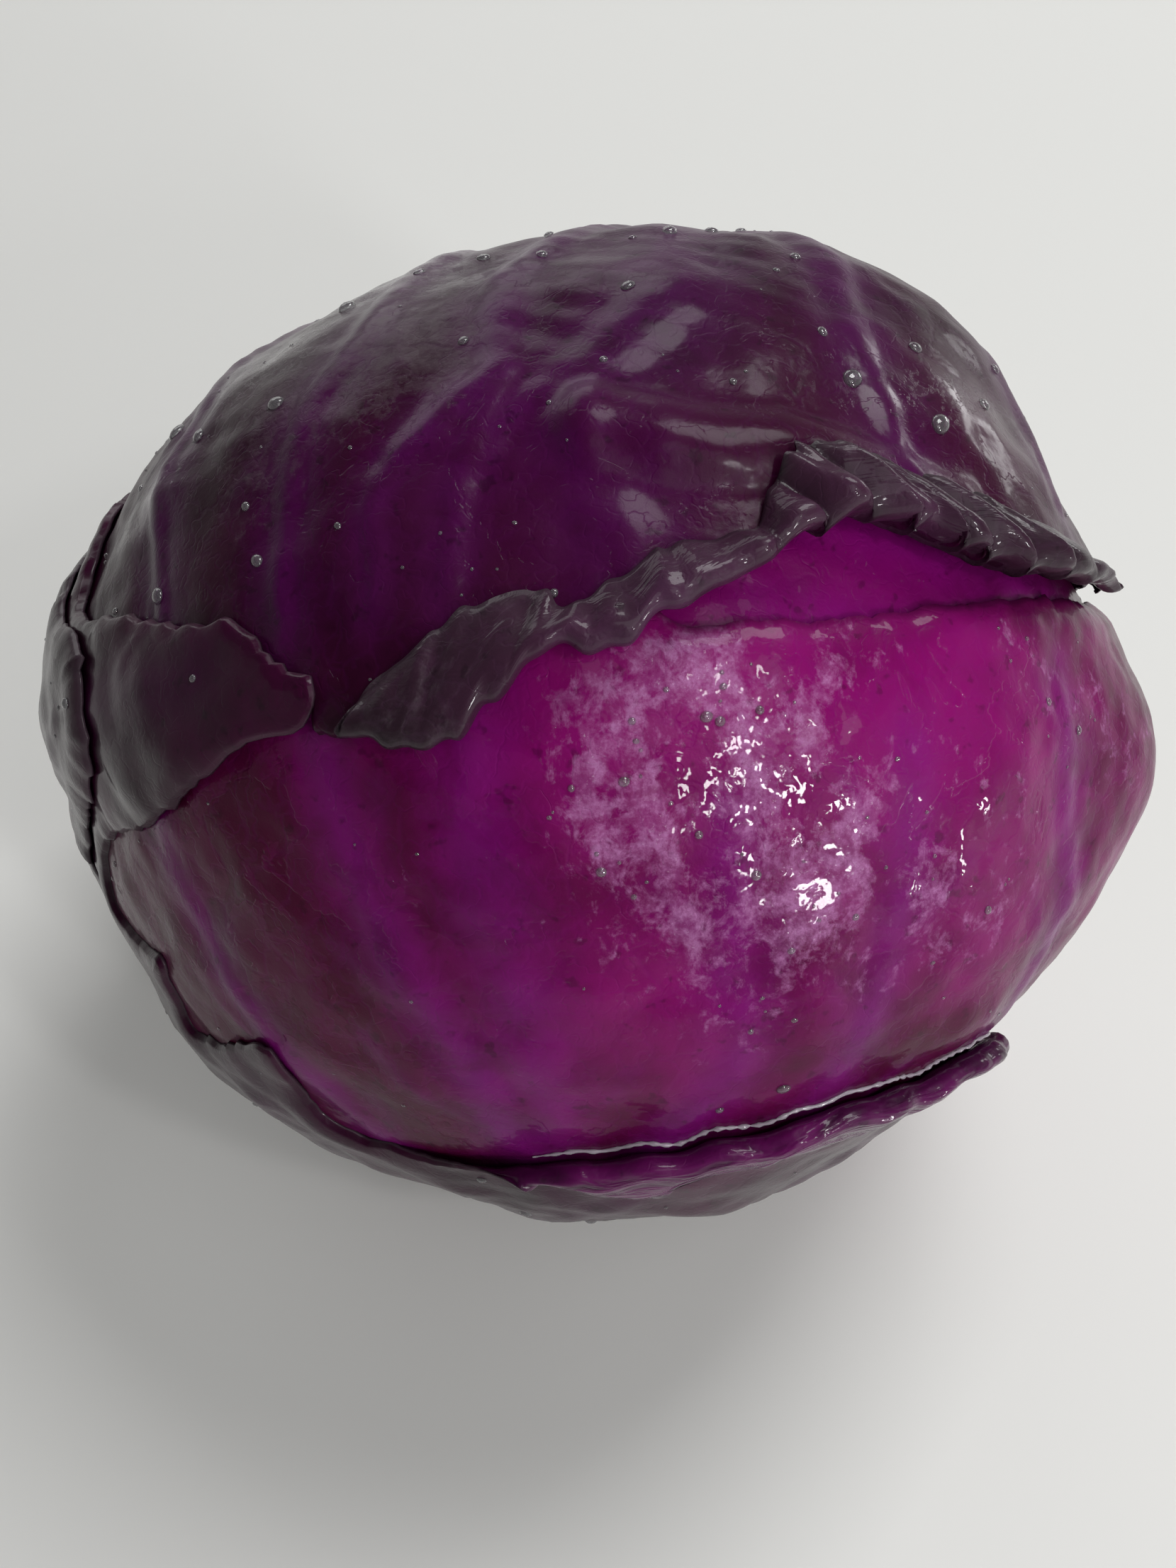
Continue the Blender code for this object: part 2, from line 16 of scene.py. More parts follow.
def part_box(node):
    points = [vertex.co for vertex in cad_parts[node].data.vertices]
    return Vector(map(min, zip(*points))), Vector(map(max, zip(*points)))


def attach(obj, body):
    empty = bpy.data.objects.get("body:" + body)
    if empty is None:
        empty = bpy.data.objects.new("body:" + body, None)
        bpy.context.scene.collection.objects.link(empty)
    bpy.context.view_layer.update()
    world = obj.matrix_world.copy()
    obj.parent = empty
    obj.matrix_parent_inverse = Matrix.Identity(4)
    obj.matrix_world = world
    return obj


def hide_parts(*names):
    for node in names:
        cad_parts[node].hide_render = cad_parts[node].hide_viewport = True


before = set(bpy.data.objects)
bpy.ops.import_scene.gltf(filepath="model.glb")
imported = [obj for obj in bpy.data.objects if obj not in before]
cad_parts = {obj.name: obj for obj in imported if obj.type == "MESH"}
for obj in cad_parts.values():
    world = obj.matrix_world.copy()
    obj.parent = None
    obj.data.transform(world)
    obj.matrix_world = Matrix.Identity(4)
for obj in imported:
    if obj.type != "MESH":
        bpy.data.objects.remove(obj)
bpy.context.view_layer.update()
for name in sorted(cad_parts):
    low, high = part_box(name)
    print(name, "is", [round(1000 * v) for v in high - low], "mm")

# %% [markdown]
# The head is not a ball. It is a little wider than deep, and it has dips and swellings where leaves
# press on each other. A direction from its middle is given as longitude and latitude: longitude 0 is
# the front, 90 the right, and latitude 90 the crown. Layers of leaf lie at fixed heights along the
# normal, so that a leaf can be drawn once and laid on any layer.

# %% The form of the head
MM = 0.001
HALF = np.array([0.080, 0.073, 0.075])
CENTRE = np.array([0.0, 0.0, 0.079])
MAP_RADIUS = 75.0
SWELLINGS = (
    (0, -90, 26, -6.0),
    (-75, 5, 42, -4.0),
    (-20, -25, 38, -2.5),
    (-58, -22, 22, 2.5),
    (46, -14, 18, -5.0),
    (70, -22, 16, -1.5),
    (-150, 45, 32, -4.0),
    (104, 31, 20, -5.5),
    (120, 52, 20, 3.5),
    (76, 14, 12, 3.0),
)


def direction(lon, lat):
    lo, la = np.radians(lon), np.radians(lat)
    return np.stack([np.cos(la) * np.sin(lo), -np.cos(la) * np.cos(lo), np.sin(la)], -1)


def outward(q):
    n = q / HALF
    return n / np.linalg.norm(n, axis=-1, keepdims=True)


def swelling(q):
    total = np.zeros(q.shape[:-1])
    for lon, lat, spread, height in SWELLINGS:
        angle = np.degrees(np.arccos(np.clip(q @ direction(lon, lat), -1, 1)))
        total += height * MM * np.exp(-((angle / spread) ** 2))
    return total


def on_head(q, height):
    return CENTRE + q * HALF + outward(q) * (swelling(q) + height)[..., None]


print("The crown is", round(1000 * on_head(direction(0.0, 90.0), np.array(0.0))[2]), "mm above the table")

# %% [markdown]
# Leaf skin is never even. Two kinds of seeded waves give it life: waves in space lift and sink the
# blade a little, and waves along a line fray the margins. Sums of plain sine waves are enough, they
# are quick, and with a fixed seed they come out the same each time.

# %% Waves in space and along a line
def waves(points, size, seed, count=22):
    """Smooth bumps about size apart, mostly between -1 and 1."""
    draw = np.random.default_rng(seed)
    heading = draw.normal(size=(count, 3))
    heading /= np.linalg.norm(heading, axis=1, keepdims=True)
    pace = 2 * math.pi / size * draw.uniform(0.6, 1.5, count)
    phase = draw.uniform(0, 2 * math.pi, count)
    total = sum(np.sin(points @ h * k + f) for h, k, f in zip(heading, pace, phase))
    return total / math.sqrt(count)


def ripple(travel, size, seed, count=9):
    draw = np.random.default_rng(seed)
    pace = 2 * math.pi / size * draw.uniform(0.6, 1.6, count)
    phase = draw.uniform(0, 2 * math.pi, count)
    return sum(np.sin(travel * k + f) for k, f in zip(pace, phase)) / math.sqrt(count)


PUCKERS = ((0.028, 0.42, 3), (0.013, 0.22, 4), (0.0065, 0.09, 5))


def puckers(q):
    """The uneven surface that all layers share, in metres, so that they never cut each other."""
    return MM * sum(high * waves(q * HALF, size, seed) for size, high, seed in PUCKERS)


SETTLE = 2.9 * MM
SETTLE_LINE = 72.3
SETTLE_RISE = 0.7
SETTLE_WIDE = 14.0
SETTLE_BACK = -128.0
SETTLE_TURN = 24.0


def settled(q):
    """Height that the two outermost leaves lose in front, where the crown leaf isn't beneath them."""
    lon = np.degrees(np.arctan2(q[:, 0], -q[:, 1]))
    lat = np.degrees(np.arcsin(np.clip(q[:, 2], -1, 1)))
    share = np.clip((SETTLE_LINE + SETTLE_RISE * lon - lat) / SETTLE_WIDE, 0, 1)
    share *= np.clip((lon - SETTLE_BACK) / SETTLE_TURN, 0, 1)
    return -SETTLE * share ** 2 * (3 - 2 * share)


sample = puckers(direction(np.linspace(0, 360, 500), np.linspace(-60, 80, 500)))
print("Puckers reach from", round(1000 * sample.min(), 2), "to", round(1000 * sample.max(), 2), "mm")

# %% [markdown]
# A leaf is drawn flat, as on a map, and then wrapped round the head. The map is centred on the leaf,
# so that it is hardly stretched.

# %% A flat map of the head
class Chart:
    """Flat map of the head round one direction, in millimetres."""

    def __init__(self, lon, lat):
        self.axis = direction(lon, lat)
        east = np.cross([0.0, 0.0, 1.0], self.axis)
        self.east = east / np.linalg.norm(east)
        self.north = np.cross(self.axis, self.east)

    def flat(self, q):
        angle = np.arccos(np.clip(q @ self.axis, -1, 1))
        x, y = q @ self.east, q @ self.north
        reach = np.maximum(np.hypot(x, y), 1e-12)
        return np.stack([x, y], -1) * (angle * MAP_RADIUS / reach)[..., None]

    def sphere(self, p):
        reach = np.maximum(np.linalg.norm(p, axis=-1), 1e-12)
        angle = reach / MAP_RADIUS
        side = (p[..., :1] * self.east + p[..., 1:] * self.north) / reach[..., None]
        return np.cos(angle)[..., None] * self.axis + np.sin(angle)[..., None] * side


round_trip = Chart(30, 20)
error = round_trip.flat(round_trip.sphere(np.array([[12.0, -7.0]]))) - [12.0, -7.0]
print("The map gives a point back to within", float(abs(error).max()), "mm")

# %% [markdown]
# Margins and ribs are smooth curves through a few placed points. Two questions come up again and
# again: how far is a point from a curve, and does it lie inside a closed one?

# %% Curves on the map
def curve_through(points, pieces, closed):
    """Catmull-Rom curve through the points, with the given number of pieces to each span."""
    count = len(points)
    out = []
    for i in range(count if closed else count - 1):
        if closed:
            a, b, c, d = (points[(i + k) % count] for k in (-1, 0, 1, 2))
        else:
            a, b, c, d = (points[min(max(i + k, 0), count - 1)] for k in (-1, 0, 1, 2))
        t = (np.arange(pieces[i]) / pieces[i])[:, None]
        out.append(0.5 * (2 * b + (c - a) * t + (2 * a - 5 * b + 4 * c - d) * t ** 2
                          + (3 * b - a - 3 * c + d) * t ** 3))
    if not closed:
        out.append(points[-1:])
    return np.vstack(out)


def nearest(run, p):
    """Distance of every point from a run of straight pieces, and how far along it that is."""
    best = np.full(len(p), 1e9)
    along = np.zeros(len(p))
    lengths = np.linalg.norm(np.diff(run, axis=0), axis=1)
    starts = np.concatenate([[0], np.cumsum(lengths)])
    for a, b, start, length in zip(run, run[1:], starts, lengths):
        t = np.clip(((p - a) @ (b - a)) / max(length ** 2, 1e-9), 0, 1)
        gap = np.linalg.norm(p - a - t[:, None] * (b - a), axis=1)
        near = gap < best
        best[near] = gap[near]
        along[near] = (start + t * length)[near]
    return best, along / starts[-1]


def inside(polygon, p):
    hit = np.zeros(len(p), bool)
    for a, b in zip(polygon, np.roll(polygon, -1, 0)):
        if a[1] == b[1]:
            continue
        crosses = (a[1] > p[:, 1]) != (b[1] > p[:, 1])
        hit ^= crosses & (p[:, 0] < (b[0] - a[0]) * (p[:, 1] - a[1]) / (b[1] - a[1]) + a[0])
    return hit


corner = np.array([[0.0, 0.0], [3.0, 0.0], [3.0, 4.0]])
print("A point is", nearest(corner, np.array([[5.0, 2.0]]))[0][0], "mm from a bent line")

# %% [markdown]
# Now the leaves themselves, as placed points. Each row of a margin is longitude and latitude, and
# then, where there is any, how far the edge rolls back, in degrees, how wide the rolled strip is, how
# deep its ruffles are, from 0 to 1, and how far it lifts, in millimetres. Where a margin is rolled, a
# second row of points says where its free edge comes to lie. Each rib is its width, its height and
# its run from the stem.

# %% The five outer leaves as placed points
BASE_LATITUDE = -76.5
UNDER_MARGIN = (
    (2, 60), (12, 69), (30, 75), (55, 77), (85, 74), (112, 62), (130, 40), (142, 10), (148, -25),
    (146, -55), (138, BASE_LATITUDE), (118, BASE_LATITUDE), (98, BASE_LATITUDE), (78, BASE_LATITUDE),
    (60, BASE_LATITUDE), (56, -50), (50, -20), (38, 8), (22, 32), (6, 48),
)
BRIGHT_MARGIN = (
    (12, 58.8), (22, 58), (32.5, 56), (43.5, 53.5), (54.5, 50), (66.5, 44), (75, 38), (84, 30), (94, 20),
    (102, 5), (103, -15), (96, -40), (84, -62), (62, BASE_LATITUDE), (40, BASE_LATITUDE),
    (15, BASE_LATITUDE), (-12, BASE_LATITUDE), (-40, BASE_LATITUDE), (-66, -60), (-82, -38), (-88, -12),
    (-86, 12), (-76, 32), (-60, 48), (-38, 60), (-15, 66), (2, 64),
)
CROWN_MARGIN = (
    (-38, 46.8), (-34.5, 44.4), (-30.6, 45.2), (-29, 46.2, 162, 3), (-26, 46.2, 160, 8),
    (-21, 46.8, 165, 10.5), (-16.6, 48.3, 165, 11), (-14.5, 51, 165, 12), (-11.5, 53.3, 160, 10),
    (-8.6, 55.8, 150, 6), (-5.5, 56.8, 160, 6), (-1, 56.6, 165, 9), (3.4, 57.2, 165, 11), (7, 58.5, 150, 7),
    (11.8, 59.9, 130, 2.5), (16.9, 60.7, 160, 6.5), (22.4, 61, 160, 5.5), (30.5, 62.1, 160, 4, 0.6),
    (37, 62.3, 160, 7, 1), (44, 61.3, 160, 7.5, 1), (49, 59.6, 160, 7, 1), (53.4, 56.7, 160, 7, 1),
    (57.2, 52.8, 155, 6, 1), (62.3, 48.3, 155, 5, 0.8), (69.2, 43.1, 155, 4, 0.6),
    (75, 39.0, 168, 2.5, 0.4), (81, 34, 172, 1), (88, 28), (104, 12), (114, -2), (122, -20), (128, -42),
    (131, -62), (134, BASE_LATITUDE), (158, BASE_LATITUDE), (180, BASE_LATITUDE), (202, BASE_LATITUDE),
    (226, BASE_LATITUDE), (228, -62), (230, -42), (236, -20), (250, -2), (266, 13), (283, 25), (298, 35),
    (311, 42),
)
COLLAR_MARGIN = (
    (-97, 27), (-90, 27), (-84, 28), (-78, 31.5), (-71.5, 37.5), (-65, 41.5), (-58, 45), (-52, 48.5),
    (-46, 48.8, 0, 0, 0, 0.2), (-40, 48.2, 0, 0, 0, 0.4), (-36.5, 49, 0, 0, 0, 0.6),
    (-34.5, 46.8, 0, 0, 0, 0.8), (-36, 43.8, 0, 0, 0, 0.6), (-41, 40.8, 0, 0, 0, 0.4),
    (-44.5, 36, 0, 0, 0, 0.2), (-48.5, 30), (-54, 22.5), (-61, 15), (-65, 7), (-63, 0), (-55.5, 2),
    (-50, 5.5, 0, 0, 0, 0.3), (-49, 0), (-47, -5), (-41, -1, 0, 0, 0, 0.2), (-33.5, 7, 0, 0, 0, 0.8),
    (-31, 2, 0, 0, 0, 0.3), (-29.5, -3), (-25.5, -6), (-20, -5, 10), (-14.5, -3.2, 30), (-9.5, -1, 60, 1),
    (-5, 1.2, 120, 3), (-1.5, 2.4, 165, 5), (2, 3.3, 176, 6), (5.5, 4.4, 178, 6.5), (8.5, 5, 178, 6),
    (11.5, 5.6, 178, 6), (15, 6.2, 178, 6), (18.5, 6.6, 178, 6), (22.5, 6.6, 178, 6.5), (27, 5.2, 178, 6.5),
    (32, 2.6, 178, 6.5), (36.5, 1.2, 178, 6), (41, -0.5, 178, 5), (45.5, -4.5, 178, 3), (48.5, -12, 172, 1),
    (50, -21), (48.5, -34), (42, -52), (28, -68), (10, BASE_LATITUDE), (-14, BASE_LATITUDE),
    (-38, BASE_LATITUDE), (-60, BASE_LATITUDE), (-80, BASE_LATITUDE), (-105, -66), (-125, -45), (-133, -20),
    (-130, 4), (-119, 17), (-106, 25),
)
SIDE_MARGIN = (
    (-77, 30.5), (-73, 31.5), (-69.5, 30.5), (-65.5, 28.5), (-63, 25.5), (-63.2, 21), (-66, 14), (-69.5, 6),
    (-71, -4), (-69, -16), (-67, -30), (-68, -45), (-70, -66), (-74, BASE_LATITUDE), (-95, BASE_LATITUDE),
    (-116, BASE_LATITUDE), (-136, BASE_LATITUDE), (-146, -55), (-154, -30), (-157, -10), (-153, 4),
    (-146, 11), (-140, 9), (-136, 3), (-131, 5), (-126, 13), (-117, 15), (-110, 20), (-104, 19), (-98, 22),
    (-91, 24), (-84, 26),
)
CROWN_FREE = (
    (-29.6, 49.6), (-26, 52.8), (-23, 56.2), (-18.5, 58.6), (-13.5, 60.2), (-10, 60.9), (-7.2, 60),
    (-4.5, 60), (-1, 60.8), (3.5, 62.4), (8.5, 63.4), (11.8, 65), (16, 64.6), (22.5, 64.2), (30.5, 65),
    (36, 67), (43, 67.8), (50, 66.8), (55, 64.2), (59.5, 61), (65, 56.5), (70.3, 50), (75.3, 42.2),
    (80.8, 35.6),
)
COLLAR_FREE = (
    (-9.8, -2), (-5.8, -1), (-2.8, -1.6), (1.5, -2.8), (5.5, -3.4), (7.5, -1.2), (11.5, 0.6), (15, 1.2),
    (18.5, 1.4), (22, 0.8), (26.2, -0.6), (30.8, -3), (35, -4.2), (39.5, -5.2), (44, -6.8), (47.7, -12.9),
)
UNDER_RIBS = (
    (7, 0.8, ((100, -72), (92, -30), (84, 5), (76, 32), (62, 52), (42, 65))),
    (5, 0.7, ((84, 5), (66, 34), (44, 52), (24, 60))),
)
BRIGHT_RIBS = (
    (8, 0.8, ((-6, -70), (-5, -35), (-6, -5), (-5.5, 12), (-8, 26), (-13, 39), (-17, 52))),
    (6, 0.8, ((-6, -5), (-10, 12), (-17, 23), (-25, 33), (-35, 44))),
    (5, 0.8, ((-6, -30), (-24, -2), (-40, 14), (-50, 23), (-62, 34))),
    (5, 0.8, ((-5, -20), (4, 0), (13, 18), (12, 27), (14, 42))),
    (5, 0.8, ((-4, -38), (16, -6), (27, 22), (31, 30), (37, 43))),
    (6, 0.9, ((0, -50), (32, -20), (50, 10), (54, 22), (62, 36))),
    (6, 0.9, ((4, -58), (48, -38), (78, -8), (88, 14))),
)
CROWN_RIBS = (
    (13, 2.6, ((180, -70), (176, -40), (173, 0), (172, 40), (166, 66), (122, 84), (6, 85.2),
               (-16, 81.5), (-15.4, 77), (-8.6, 74.3), (0, 69.5), (6, 65.5))),
    (6, 1.3, ((-16.5, 81), (-32, 77.5), (-32, 72))),
    (7, 1.8, ((172, 44), (215, 76), (303, 80), (323, 73.4), (328, 68), (335, 61))),
    (5, 1.2, ((303, 80), (307, 77.3), (310.3, 71.4), (312.7, 65))),
    (5, 1.2, ((306, 78), (308, 72.2), (313.7, 64), (322, 60), (325.3, 57))),
    (7, 1.8, ((173, 22), (206, 56), (259, 68), (284.5, 63.3), (301, 58.3), (308, 55), (314, 52))),
    (7, 1.8, ((174, 2), (205, 32), (240, 46), (272, 46), (296, 42))),
    (6, 1.8, ((175, -22), (200, 4), (228, 20), (255, 22))),
    (7, 1.8, ((172, 36), (138, 60), (96, 68), (72, 64), (62, 60))),
    (7, 1.8, ((173, 10), (143, 36), (112, 46), (88, 42))),
    (6, 1.8, ((175, -16), (150, 8), (126, 18), (106, 18))),
)
COLLAR_RIBS = (
    (12, 2.4, ((-36, -70), (-34, -50), (-33, -35), (-34, -20), (-36, -9))),
    (7, 1.6, ((-34, -52), (-16, -36), (-4, -20), (2, -8))),
    (7, 1.6, ((-35, -60), (4, -46), (26, -24), (34, -6))),
    (7, 0.9, ((-33, -44), (-56, -26), (-72, -2), (-73, 18), (-63, 33), (-52, 42))),
    (7, 0.8, ((-36, -62), (-80, -46), (-100, -18), (-103, 6), (-98, 17))),
)
SIDE_RIBS = (
    (11, 2.4, ((-105, -70), (-106, -45), (-104, -15), (-99, 4), (-94, 14))),
    (6, 1.5, ((-105, -50), (-86, -28), (-79, -6), (-75, 10), (-72, 22))),
    (6, 1.5, ((-106, -46), (-126, -24), (-134, -6))),
)
CROWN_FOLDS = (
    (15, 3.0, ((-2, 77), (15, 75.5), (31, 72.8), (46, 70), (58, 64), (67, 55))),
)
print(sum(len(m) for m in (UNDER_MARGIN, BRIGHT_MARGIN, CROWN_MARGIN, COLLAR_MARGIN, SIDE_MARGIN)),
      "margin points for five leaves")

# %% [markdown]
# On a real leaf finer ribs leave the thick ones at about fifty degrees and bend towards the margin.
# That is a rule, so they are grown from the thick ribs and not placed by hand.

# %% Fine side ribs
RIB_STEP = 3.0
BRANCH_EVERY = 15.0
BRANCH_ANGLE = math.radians(48)
BRANCH_BEND = math.radians(-5)
BRANCH_PIECES = 6
BRANCH_WIDTH = 2.8
BRANCH_HEIGHT = 0.24
FIRST_BRANCH = 0.16
LAST_BRANCH = 0.93
BRANCH_LENGTHS = (9, 15)
LONGER_AT_STEM = 9
RIB_NARROWS = 0.45
RIB_SINKS = 0.6


def rib_run(chart, run):
    flat = chart.flat(direction(*np.array(run, float).T))
    gaps = np.linalg.norm(np.diff(flat, axis=0), axis=1)
    return curve_through(flat, [max(1, round(g / RIB_STEP)) for g in gaps], False)


def side_ribs(run, draw):
    """Fine ribs that leave one thick rib to the left and the right in turn."""
    lengths = np.linalg.norm(np.diff(run, axis=0), axis=1)
    travel = np.concatenate([[0], np.cumsum(lengths)])
    found = []
    side = 1
    spot = FIRST_BRANCH * travel[-1]
    while spot < LAST_BRANCH * travel[-1]:
        i = min(int(np.searchsorted(travel, spot)), len(run) - 2)
        ahead = run[i + 1] - run[i]
        turn = math.atan2(ahead[1], ahead[0]) + side * BRANCH_ANGLE * draw.uniform(0.8, 1.2)
        length = draw.uniform(*BRANCH_LENGTHS) + LONGER_AT_STEM * (1 - spot / travel[-1])
        line = [run[i]]
        for _ in range(BRANCH_PIECES):
            step = length / BRANCH_PIECES
            line.append(line[-1] + step * np.array([math.cos(turn), math.sin(turn)]))
            turn += side * BRANCH_BEND * draw.uniform(0.4, 1.8)
        found.append((BRANCH_WIDTH, BRANCH_HEIGHT, np.array(line)))
        side = -side
        spot += BRANCH_EVERY * draw.uniform(0.6, 1.2)
    return found


def raised(runs, p):
    """Height in metres that the ribs or folds add at the chart points."""
    total = np.zeros(len(p))
    for width, height, run in runs:
        gap, share = nearest(run, p)
        reach = 0.5 * width * (1 - RIB_NARROWS * share)
        ridge = np.clip(1 - (gap / reach) ** 2, 0, 1) ** 1.5
        total = np.maximum(total, height * MM * (1 - RIB_SINKS * share) * ridge)
    return total


trial = side_ribs(np.array([[0.0, 3.0 * i] for i in range(30)]), np.random.default_rng(1))
print("A rib 87 mm long gets", len(trial), "fine side ribs")

# %% [markdown]
# The margin is where a leaf shows what it is. On this head the crown leaf folds outward and back over
# itself, and its free edge is ruffled, because it grew faster than the blade. The collar leaf's edge
# rolls outward as well, and is nearly even. So a strip of rows is walked off the blade: first round a
# roll, and then straight back, with ruffles that grow towards the free edge. Where nothing rolls, the
# strip only runs out flat and its edge is frayed.

# %% The margin as a curve
FINE_STEP = 0.5
PLAIN_STEP = 1.3
ROLLED_FROM = 45.0
OPEN_BELOW = 60.0
FREE_FROM = 1.0
FREE_OVER = 3.0
FRAY_LOWEST = math.sin(math.radians(-70))
FRAY_START = 5
COARSE_TEARS = (9, 0.6)
FINE_TEARS = (3.6, 0.45)
SCALLOPS = (12, 0.4)
STRIP_LOBES = (10, 0.035)
SMOOTH_REACH = 3.0


def margin_points(chart, margin, free):
    """Rows along the margin: place on the chart, roll, strip, pleat, lift and the way to the free edge."""
    rows = np.array([(tuple(row) + (0, 0, 0, 0))[:6] for row in margin], float)
    flat = chart.flat(direction(rows[:, 0], rows[:, 1]))
    ends = flat.copy()
    rolled = rows[:, 2] > ROLLED_FROM
    if rolled.any():
        ends[rolled] = chart.flat(direction(*np.array(free, float).T))
    table = np.hstack([flat, rows[:, 2:], ends - flat])
    pieces = []
    for here, there in zip(table, np.roll(table, -1, 0)):
        step = FINE_STEP if max(here[2], there[2]) > ROLLED_FROM else PLAIN_STEP
        pieces.append(max(1, round(np.linalg.norm(there[:2] - here[:2]) / step)))
    curve = curve_through(table, pieces, True)
    curve[:, 2:6] = np.maximum(curve[:, 2:6], 0)
    x, y = curve[:, 0], curve[:, 1]
    clockwise = np.sum(x * np.roll(y, -1) - y * np.roll(x, -1)) < 0
    return curve[::-1] if clockwise else curve


def margin_normals(points, travel):
    """Directions in the chart that point away from the blade, smoothed along the margin."""
    along = np.roll(points, -1, 0) - np.roll(points, 1, 0)
    along /= np.maximum(np.linalg.norm(along, axis=1, keepdims=True), 1e-9)
    away = np.stack([along[:, 1], -along[:, 0]], 1)
    gap = np.abs(travel[:, None] - travel[None, :])
    away = np.exp(-((gap / SMOOTH_REACH) ** 2)) @ away
    return away / np.linalg.norm(away, axis=1, keepdims=True)


def margin_curve(chart, margin, free, fray, seed):
    """The frayed margin, the directions that point off the blade, and how far along each point lies."""
    curve = margin_points(chart, margin, free)
    gaps = np.linalg.norm(np.diff(curve[:, :2], axis=0), axis=1)
    travel = np.concatenate([[0], np.cumsum(gaps)])
    open_share = 1 - np.clip(curve[:, 2] / OPEN_BELOW, 0, 1)
    away = margin_normals(curve[:, :2], travel)
    back = np.linalg.norm(curve[:, 6:], axis=1)
    share = np.clip((back - FREE_FROM) / FREE_OVER, 0, 1)[:, None]
    away = away * (1 - share) - share * curve[:, 6:] / np.maximum(back, 1e-6)[:, None]
    away /= np.linalg.norm(away, axis=1, keepdims=True)
    curve[:, 3] = np.where(curve[:, 2] > ROLLED_FROM, back, curve[:, 3])
    high = chart.sphere(curve[:, :2])[:, 2] > FRAY_LOWEST
    closing = np.clip(np.minimum(travel, travel[-1] - travel) / FRAY_START, 0, 1)
    coarse, fine, scallop, lobe = (
        amount * ripple(travel, size, seed + turn)
        for (size, amount), turn in ((COARSE_TEARS, 0), (FINE_TEARS, 1), (SCALLOPS, 4), (STRIP_LOBES, 2)))
    frayed = fray * (coarse + fine) * open_share + scallop * (1 - open_share)
    curve[:, :2] += away * (frayed * high * closing)[:, None]
    curve[:, 3] *= 1 + lobe * (1 - open_share)
    return curve[:, :6], away, travel


trial = Chart(0, 0)
square = ((-20, -20), (20, -20), (20, 20), (-20, 20))
print("A margin of four points becomes", len(margin_points(trial, square, ())), "points")

# %% [markdown]
# Across the strip, each row is given by how far out it lies, how high, how far it leans sideways and
# the slope of the blade there. The ruffles are round lobes with narrow clefts between them, and they
# lean, as lobes do that are pushed together.

# %% The strip along the margin
TURN_ROWS = 6
TAIL_ROWS = 9
FLAT_ROWS = 4
ROLL_ARC = 4.5
TURN_SHARE = 0.6
FLAT_SHARE = 0.45
FULL_STRIP = 5.0
FLAT_STRIP = 4.5
PRESSED = -1.15
RESTING = 0.95
CLEAR = 0.45
LONG_PLEAT = 16.0
SHORT_PLEAT = 7.5
CREST_AT = 0.66
CREST_ROUND = 0.6
RUFFLE_SWAY = 15
RUFFLE_GROUND = 0.3
RUFFLE_HEIGHT = 2.1
PUFF_START = 0.12
PUFF_LENGTH = 0.83
LEAN = 2.0
LAY_DOWN = 1.25
CRUMPLES = ((0.011, 0.34, 6), (0.0045, 0.12, 7))


def ruffles(travel, pleat, seed):
    """Round lobes with narrow clefts between them: 1 on every crest, 0 in every cleft."""
    size = LONG_PLEAT + (SHORT_PLEAT - LONG_PLEAT) * np.clip(pleat, 0, 1)
    steps = np.diff(travel, prepend=0) / size * (1 + 0.5 * ripple(travel, RUFFLE_SWAY, seed + 5))
    turn = np.cumsum(np.maximum(steps, 0)) % 1.0
    falling = 0.5 + 0.5 * (turn - CREST_AT) / (1 - CREST_AT)
    turn = np.where(turn < CREST_AT, 0.5 * turn / CREST_AT, falling)
    return np.sin(math.pi * turn) ** CREST_ROUND


def strip_rows(curve, travel, rolled, seed):
    """Rows across the strip: how far out, how high, how far sideways and the slope, for every point."""
    roll, strip, pleat, lift = curve[:, 2:].T
    none = np.zeros(len(curve))
    if not rolled:
        shares = [(k + 1) / FLAT_ROWS for k in range(FLAT_ROWS)]
        return [(FLAT_STRIP * s + none, (PRESSED + lift) * s ** 2, none, none) for s in shares]
    scale = FLAT_SHARE + (1 - FLAT_SHARE) * np.minimum(1, strip / FULL_STRIP)
    crest = ruffles(travel, pleat, seed)
    free = np.clip(roll / 90, 0, 1)
    folded = np.clip((roll - 90) / 40, 0, 1)
    sway = 1 + 0.3 * ripple(travel, RUFFLE_SWAY, seed + 9)
    depth = (RUFFLE_GROUND + RUFFLE_HEIGHT * pleat) * sway * free
    strip = strip * (1 + pleat * (0.04 * crest + 0.035 * ripple(travel, 5, seed + 8)))
    out, high, rows = none.copy(), none.copy(), []
    for k in range(TURN_ROWS + TAIL_ROWS):
        if k < TURN_ROWS:
            slope = np.radians(roll * (k + 0.5) / TURN_ROWS)
            length = ROLL_ARC / TURN_ROWS
            share = TURN_SHARE * (k + 1) / TURN_ROWS
        else:
            if k == TURN_ROWS:
                drop = np.clip((high - RESTING) / (scale * np.maximum(strip, 1.0)), -0.4, 0.6)
                laid = math.pi + LAY_DOWN * np.arcsin(drop)
            tail = (k - TURN_ROWS + 1) / TAIL_ROWS
            length = np.maximum(strip, 1.0) / TAIL_ROWS
            share = TURN_SHARE + (1 - TURN_SHARE) * tail
            settling = folded * min(1.0, 3 * tail)
            slope = np.radians(roll) * (1 - settling) + laid * settling
        out = out + scale * length * np.cos(slope)
        high = high + scale * length * np.sin(slope)
        puff = math.sin(math.pi * (PUFF_START + PUFF_LENGTH * share))
        wave = depth * crest * puff
        sideways = LEAN * pleat * (crest - 0.3) * puff
        press = PRESSED * (1 - free) * share ** 2
        rows.append((out, high + wave + lift * share ** 2 + press, sideways, slope))
    return rows


